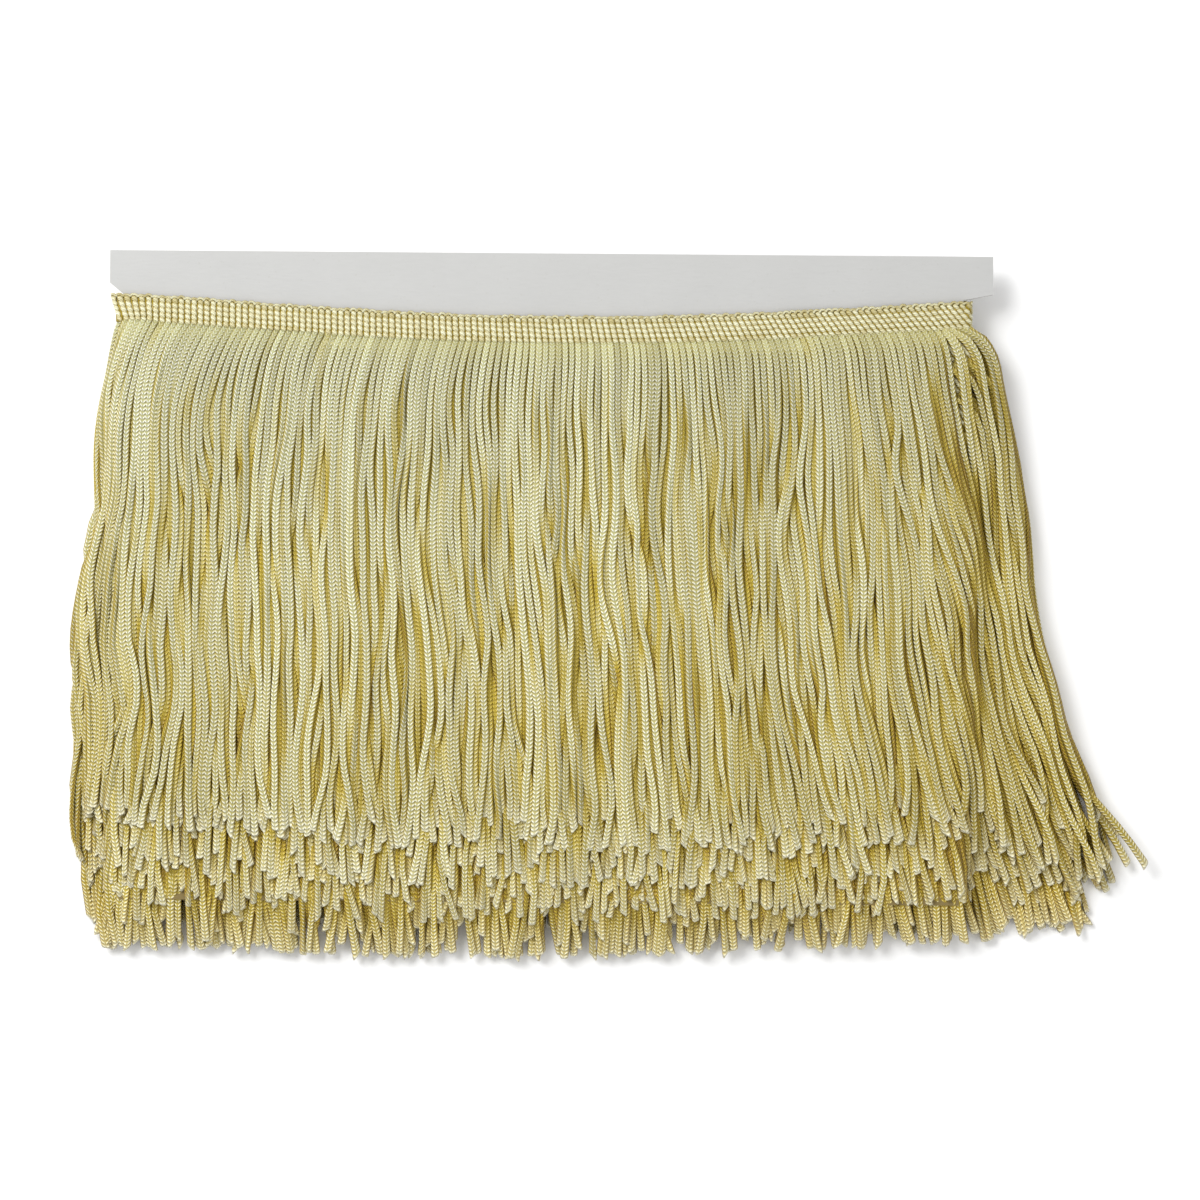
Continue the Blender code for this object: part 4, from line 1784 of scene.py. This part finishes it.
    @staticmethod
    def _trace(
        bed: CordBed, buried: np.ndarray, chosen: np.ndarray, shares: np.ndarray
    ) -> tuple[np.ndarray, np.ndarray]:
        """Reads the courses of some cords at shares of their lengths.

        Args:
            bed: The settled cords.
            buried: How deep each lies at each slice.
            chosen: Numbers of the cords wanted.
            shares: The shares of a cord's length.

        Returns:
            Points as cords by shares by 3, and how deep each lies under others.
        """
        gone = bed.gone()
        paths = np.zeros((len(chosen), len(shares), 3))
        depth = np.zeros((len(chosen), len(shares)))
        for row, cord in enumerate(chosen):
            free = bed.root[cord, 1] - bed.slices > 0.0
            lengths = np.concatenate(([0.0], gone[free, cord]))
            wanted = shares * bed.length[cord]
            course = np.stack((bed.x[free, cord], bed.slices[free], bed.z[free, cord]), 1)
            course = np.concatenate((bed.root[cord][None], course))
            paths[row] = np.stack([np.interp(wanted, lengths, column) for column in course.T], 1)
            depth[row] = np.interp(wanted, lengths[1:], buried[free, cord])
        return paths, depth

    def _faces(
        self, generator: np.random.Generator, outward: np.ndarray, along: np.ndarray
    ) -> np.ndarray:
        """Directions that the rings' flat faces look in: outwards, slowly twisted down each cord.

        Args:
            generator: The source of the twists.
            outward: The heading's outward direction at each root.
            along: Length from its root to each ring, cords by rings.

        Returns:
            Directions, cords by rings by 3.
        """
        count = len(along)
        turn = generator.normal(0.0, self.STEADY_TWIST, count)[:, None] + np.zeros_like(along)
        for wave, usual in self.TWISTS:
            phase = generator.uniform(0.0, 2.0 * np.pi, count)[:, None]
            reach = usual * generator.normal(0.0, 1.0, count)[:, None]
            turn += reach * np.sin(2 * np.pi * along / wave + phase)
        turn *= smooth_step(along, *self.TWIST_ALONG)
        angle = np.arctan2(outward[:, 2], outward[:, 0])[:, None] + turn
        return np.stack((np.cos(angle), np.zeros_like(angle), np.sin(angle)), -1)

    def _warmth(
        self, shares: np.ndarray, across: np.ndarray, tone: np.ndarray, inner_tip: np.ndarray
    ) -> np.ndarray:
        """How much painted warmth the yarn has for its place on the fringe, apart from what lies over it.

        It is painted shade lower down the cords, to the right and at the edges, and painted light at the
        innermost turn's tips. Dim cords get some more by their own tone.

        Args:
            shares: How far down its cord each ring is, 1 by rings.
            across: How far across the heading's width each ring is, cords by rings.
            tone: Brightness of each cord, from 0 to 1.
            inner_tip: Where the tips of the inner turns are.

        Returns:
            The warmth, cords by rings.
        """
        to_right = np.clip(across, 0.0, self.FURTHEST_RIGHT) ** 2
        painted_warmth_and_tone = self.WARM_DOWN * shares + self.WARM_RIGHT * to_right + self.WARM_DIM * (1.0 - tone)
        painted_warmth_and_tone += self.WARM_LEFT_EDGE * shares * smooth_step(-across, *self.LEFT_EDGE_ACROSS)
        painted_warmth_and_tone += self.WARM_RIGHT_EDGE * smooth_step(across, *self.RIGHT_EDGE_ACROSS)
        painted_warmth_and_tone += self.tip_painted_light * inner_tip
        return painted_warmth_and_tone

    def _marks(
        self,
        bed: CordBed,
        chosen: np.ndarray,
        shares: np.ndarray,
        along: np.ndarray,
        x: np.ndarray,
        bright: np.ndarray,
    ) -> dict[str, np.ndarray]:
        """The numbers that the material reads, all but how deep the cords are buried.

        Args:
            bed: The settled cords.
            chosen: Numbers of the cords wanted.
            shares: How far down its cord each ring is, 1 by rings.
            along: The same as a length, cords by rings.
            x: X of each ring.
            bright: Brightness of each cord, from 0 to 1, at each ring.

        Returns:
            Each number, cords by rings.
        """
        across = self.strip.across(x)
        innermost = (bed.turn[chosen] - 1.0)[:, None] / (self.strip.turns - 1.0)
        inner_tip = innermost**2 * smooth_step(shares, *self.INNER_TIP_DOWN)
        near_root = 1.0 - smooth_step(shares, *self.NEAR_ROOT_DOWN)
        near_root = near_root * smooth_step(across, *self.OFF_LEFT_ACROSS)
        # The tone is each cord's random brightness, with painted light at the innermost turn's tips and
        # painted shade near the roots
        return {
            "tone": bright + self.tip_painted_light * inner_tip - self.root_shade * near_root,
            "cut": smooth_step(shares, *self.CUT_DOWN) + np.zeros_like(along),
            "held": 1.0 - smooth_step(along, *self.HELD_ALONG),
            "painted_warmth_and_tone": self._warmth(shares, across, bright, inner_tip),
        }

    def tubes(
        self, bed: CordBed, buried: np.ndarray, chosen: np.ndarray, rings: int, sides: int, seed: int
    ) -> Tubes:
        """Tubes for some of the cords, each cut off at its own length.

        Args:
            bed: The settled cords.
            buried: How deep each lies at each slice.
            chosen: Numbers of the cords wanted.
            rings: How many rings each tube has.
            sides: How many sides.
            seed: What the random twists start from.

        Returns:
            The tubes.
        """
        generator = np.random.default_rng(seed)
        count = len(chosen)
        shares = np.linspace(0.0, 1.0, rings - 2) ** self.RING_POWER * self.END_START
        shares = np.concatenate((shares, self.END_SHARES))[None]
        paths, depth = self._trace(bed, buried, chosen, shares[0])
        depth *= 1.0 - self.tip_light * smooth_step(shares, *self.TIP_LIGHT_DOWN)
        along = shares * bed.length[chosen][:, None]
        faces = self._faces(generator, bed.outward[chosen], along)
        flare = 1.0 + self.flare * smooth_step(shares, *self.FLARE_DOWN) + np.zeros_like(along)
        flare[:, -2:] = self.END_SIZES
        own = generator.normal(0.0, 1.0, count).clip(*self.SIZE_LIMITS)[:, None]
        size = self.size + self.size_spread * own
        wide = self.root_width + (1.0 - self.root_width) * smooth_step(along, *self.WIDER_ALONG)
        thick = self.root_thickness + (1.0 - self.root_thickness) * smooth_step(along, *self.THICKER_ALONG)
        bright = generator.random(count)[:, None] + np.zeros_like(along)
        marks = self._marks(bed, chosen, shares, along, paths[:, :, 0], bright)
        stitched = along / self.stitch + generator.random(count)[:, None]
        slant = generator.normal(0.0, self.cut_slant, count).clip(-self.most_slant, self.most_slant)
        slants = np.zeros_like(along)
        slants[:, -3:] = slant[:, None] * self.END_SLANTS
        return Tubes(
            paths=paths + np.array(self.strip.origin),
            half_widths=self.settling.width / 2 * size * flare * wide,
            half_depths=self.settling.thickness / 2 * self.thickness * flare * thick,
            faces=faces,
            profile=grooved_profile(sides, self.groove, self.fullness),
            along=stitched,
            # buried carries the painted shade under other cords
            marks={"buried": depth, **marks},
            slants=slants,
        )


@dataclass
class Fringe:
    """All the cords: how long they are, how they are laid out to settle, and the pieces they make.

    Attributes:
        strip: The heading that they hang from.
        settling: What lets them sink onto each other.
        cord_length: Length of the outermost turn's longest cords, but for those at the right end.
        ragged: How much shorter its shortest ones are, and the innermost turn's.
        middle_ragged: The same for the turns between the two.
        inner_longer: How much longer the innermost turn's cords are.
        left_longer: How much longer still they are at the left end.
        right_longer: How much longer all cords are at the right end.
        outer_longer: How much longer still most of the outermost turn's are there.
        slice_step: From slice to slice.
        layer_step: Thickness of a turn's layer before the cords sink.
        tumble: How many layers thick the mixed cords of the outermost turn are.
        jitter: How far the cords are usually moved at random before they sink.
        seed: What the random choices start from.
    """

    strip: HeadingStrip
    settling: Settling
    cord_length: float = 0.192
    ragged: float = 0.014
    middle_ragged: float = 0.021
    inner_longer: float = 0.0030
    left_longer: float = 0.0095
    right_longer: float = 0.005
    outer_longer: float = 0.022
    slice_step: float = 0.004
    layer_step: float = 0.0022
    tumble: float = 1.3
    jitter: float = 0.0002
    seed: int = 11

    # Powers on an even random number that spread the lengths of the outermost, the middle and the
    # innermost turns. Over 1 leaves few short cords
    RAGGED_POWERS = (1.7, 1.1, 2.8)
    RIGHT_LONGER_POWER = 8
    # Where across the heading the outermost turn's cords get longer, and in part the middle ones',
    # and the share that doesn't
    OUTER_ACROSS = (0.88, 0.98)
    OUTER_LEFT_OUT = 0.22
    # Where the loops are hidden and only one of their two cords is made
    SINGLE = ((2, Place.BACK), (3, Place.BACK))
    # From the middle of the heading's ground to the roots of a loop's two cords, and their height
    # on it as a share of the heading's
    OUTER_ROOT = 0.0004
    INNER_ROOT = -0.0003
    ROOT_SHARE = 0.06
    # Where below their roots the outermost turn's cords get mixed, and all lie in their layer
    MIXED_DOWN = (0.020, 0.090)
    RISE_DOWN = (0.0, 0.014)
    # How many layers higher the outer cord of a loop starts than the inner one, on the inner turns
    INNER_TOP = 0.4
    # The pieces: name, place, turn, legs of the loops, rings and sides of a cord
    PIECES = (
        ("cords_front_1_outer", Place.FRONT, 1, (Leg.OUTER,), 40, 12),
        ("cords_front_1_inner", Place.FRONT, 1, (Leg.INNER,), 36, 8),
        ("cords_front_2", Place.FRONT, 2, tuple(Leg), 26, 8),
        ("cords_front_3", Place.FRONT, 3, tuple(Leg), 24, 6),
        ("cords_front_4", Place.FRONT, 4, tuple(Leg), 24, 8),
        ("cords_back_1_outer", Place.BACK, 1, (Leg.OUTER,), 28, 8),
        ("cords_back_1_inner", Place.BACK, 1, (Leg.INNER,), 24, 6),
        ("cords_back_2", Place.BACK, 2, tuple(Leg), 20, 6),
        ("cords_back_3", Place.BACK, 3, tuple(Leg), 20, 6),
        ("cords_back_4", Place.BACK, 4, tuple(Leg), 22, 6),
    )
    # Rings, sides and seed of the cords that hang from the bends
    SIDE_RINGS = 36
    SIDE_SIDES = 12
    SIDE_SEED = 50

    def _lengths(self, generator: np.random.Generator, x: np.ndarray, turn: np.ndarray) -> np.ndarray:
        """Length of each cord: longer towards the ends of the heading, and ragged.

        Args:
            generator: The source of the random shortening.
            x: X of each root.
            turn: Turn of each root, 1 outermost.

        Returns:
            The lengths.
        """
        across = np.clip(self.strip.across(x), 0.0, 1.0)
        innermost = (turn - 1.0) / (self.strip.turns - 1.0)
        longer = (self.inner_longer + self.left_longer * (1.0 - across) ** 2) * innermost
        longer += self.right_longer * across**self.RIGHT_LONGER_POWER
        chosen = np.random.default_rng(self.seed + 1).random(len(turn)) > self.OUTER_LEFT_OUT
        at_right = smooth_step(across, *self.OUTER_ACROSS)
        longer += self.outer_longer * chosen * (1.0 - innermost) * at_right
        middle = (turn > 1) & (turn < self.strip.turns)
        outer_power, middle_power, inner_power = self.RAGGED_POWERS
        power = np.where(turn == 1, outer_power, np.where(middle, middle_power, inner_power))
        ragged = np.where(middle, self.middle_ragged, self.ragged)
        return self.cord_length + longer - ragged * generator.random(len(turn)) ** power

    def lay(self) -> CordBed:
        """Sets every cord out from its root and lets them all settle.

        Returns:
            The settled cords.
        """
        strip = self.strip
        generator = np.random.default_rng(self.seed)
        columns = strip.columns()
        double = np.ones(len(columns), bool)
        for number, part in self.SINGLE:
            double &= (strip.at("turn", columns) != number) | (strip.at("place", columns) != part.value)
        gone = np.concatenate((columns, columns[double]))
        leg = np.repeat((Leg.OUTER.value, Leg.INNER.value), (len(columns), double.sum()))
        is_inner = leg == Leg.INNER.value
        beside = np.where(is_inner, 0.5 * strip.column_pitch, 0.0)
        out = np.where(is_inner, self.INNER_ROOT, self.OUTER_ROOT)
        root_gone = np.minimum(gone + beside, strip.length)
        root = strip.point(root_gone, np.full(len(gone), self.ROOT_SHARE), out)
        turn, place = strip.at("turn", gone), strip.at("place", gone)
        length = self._lengths(generator, root[:, 0], turn)
        bottom = (root[:, 1] - length).min() - 2 * self.slice_step
        slices = np.arange(root[:, 1].max(), bottom, -self.slice_step)
        shape = (len(slices), len(gone))
        bed = CordBed(
            root=root,
            outward=strip.outward(gone),
            length=length,
            turn=turn,
            place=place,
            leg=leg,
            root_lean=strip.lie_back(gone) / strip.height * place,
            slices=slices,
            x=np.zeros(shape),
            z=np.zeros(shape),
            wanted=np.zeros(shape),
        )
        bed.wanted = Drape(strip, self.cord_length).courses(generator, bed)
        bed.x = bed.wanted + generator.normal(0.0, self.jitter, shape[1])
        mixed = smooth_step(bed.below_root(), *self.MIXED_DOWN)
        tumbled = self.tumble * generator.random(shape[1])
        on_top = 1.0 * ~is_inner
        in_turn = np.where(turn == 1, on_top * (1.0 - mixed) + tumbled * mixed, self.INNER_TOP * on_top)
        layer = strip.turns - turn + in_turn
        rise = layer * self.layer_step * smooth_step(bed.below_root(), *self.RISE_DOWN)
        bed.x += bed.outward[:, 0] * rise
        bed.z = root[:, 2] + bed.outward[:, 2] * rise
        self.settling.settle(bed)
        return bed

    def build(self, material: bpy.types.Material) -> list[bpy.types.Object]:
        """Lays the cords and makes one piece for each layer of each face, and one for the bends.

        Args:
            material: The finish.

        Returns:
            The pieces.
        """
        bed = self.lay()
        shape = CordShape(self.strip, self.settling)
        buried = shape.buried(bed)
        pieces = []
        for number, (name, place, turn, legs, rings, sides) in enumerate(self.PIECES):
            mine = (bed.place == place.value) & (bed.turn == turn)
            mine &= np.isin(bed.leg, [leg.value for leg in legs])
            tubes = shape.tubes(bed, buried, np.flatnonzero(mine), rings, sides, self.seed + number)
            pieces.append(tubes.build(name, material))
        bends = np.flatnonzero(bed.place == Place.BEND.value)
        seed = self.seed + self.SIDE_SEED
        tubes = shape.tubes(bed, buried, bends, self.SIDE_RINGS, self.SIDE_SIDES, seed)
        pieces.append(tubes.build("cords_sides", material))
        return pieces


def attach(pieces: list[bpy.types.Object]) -> None:
    """Gives pieces of the trim their body.

    Args:
        pieces: The pieces.
    """
    for piece in pieces:
        LOG.info("%s has %d faces", piece.name, len(piece.data.polygons))
        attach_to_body(piece, BODY)


def main() -> None:
    """Builds the pieces in order."""
    logging.basicConfig(level=logging.INFO, format="%(message)s")
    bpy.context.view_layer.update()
    studio = Studio()
    studio.place_camera()
    studio.place_lights()
    studio.lay_floor()
    low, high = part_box("winding_card")
    origin = Vector(((low.x + high.x) / 2, high.y, (low.z + high.z) / 2))
    strip = HeadingStrip(origin)
    LOG.info("strip is %.3f m long", strip.length)
    settling = Settling(
        strip,
        card_half=(high.z - low.z) / 2,
        card_left=CARD_LEFT,
        card_right=CARD_RIGHT,
        card_bottom=low.y - high.y,
        floor=-origin.z,
    )
    started = time.time()
    cords = Fringe(strip, settling).build(CordYarn().material("chainette"))
    LOG.info("cords settled and built in %.1f s", time.time() - started)
    attach(cords)
    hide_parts("fringe_trim")
    heading_yarn = HeadingYarn().material("heading_yarn")
    ground = strip.build_ground(heading_yarn)
    stitches = HeadingStitches(strip).build(heading_yarn)
    attach([ground, *stitches])
    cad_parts["winding_card"].data.materials[0] = Paperboard().material("paperboard")


if __name__ == "__main__":
    main()
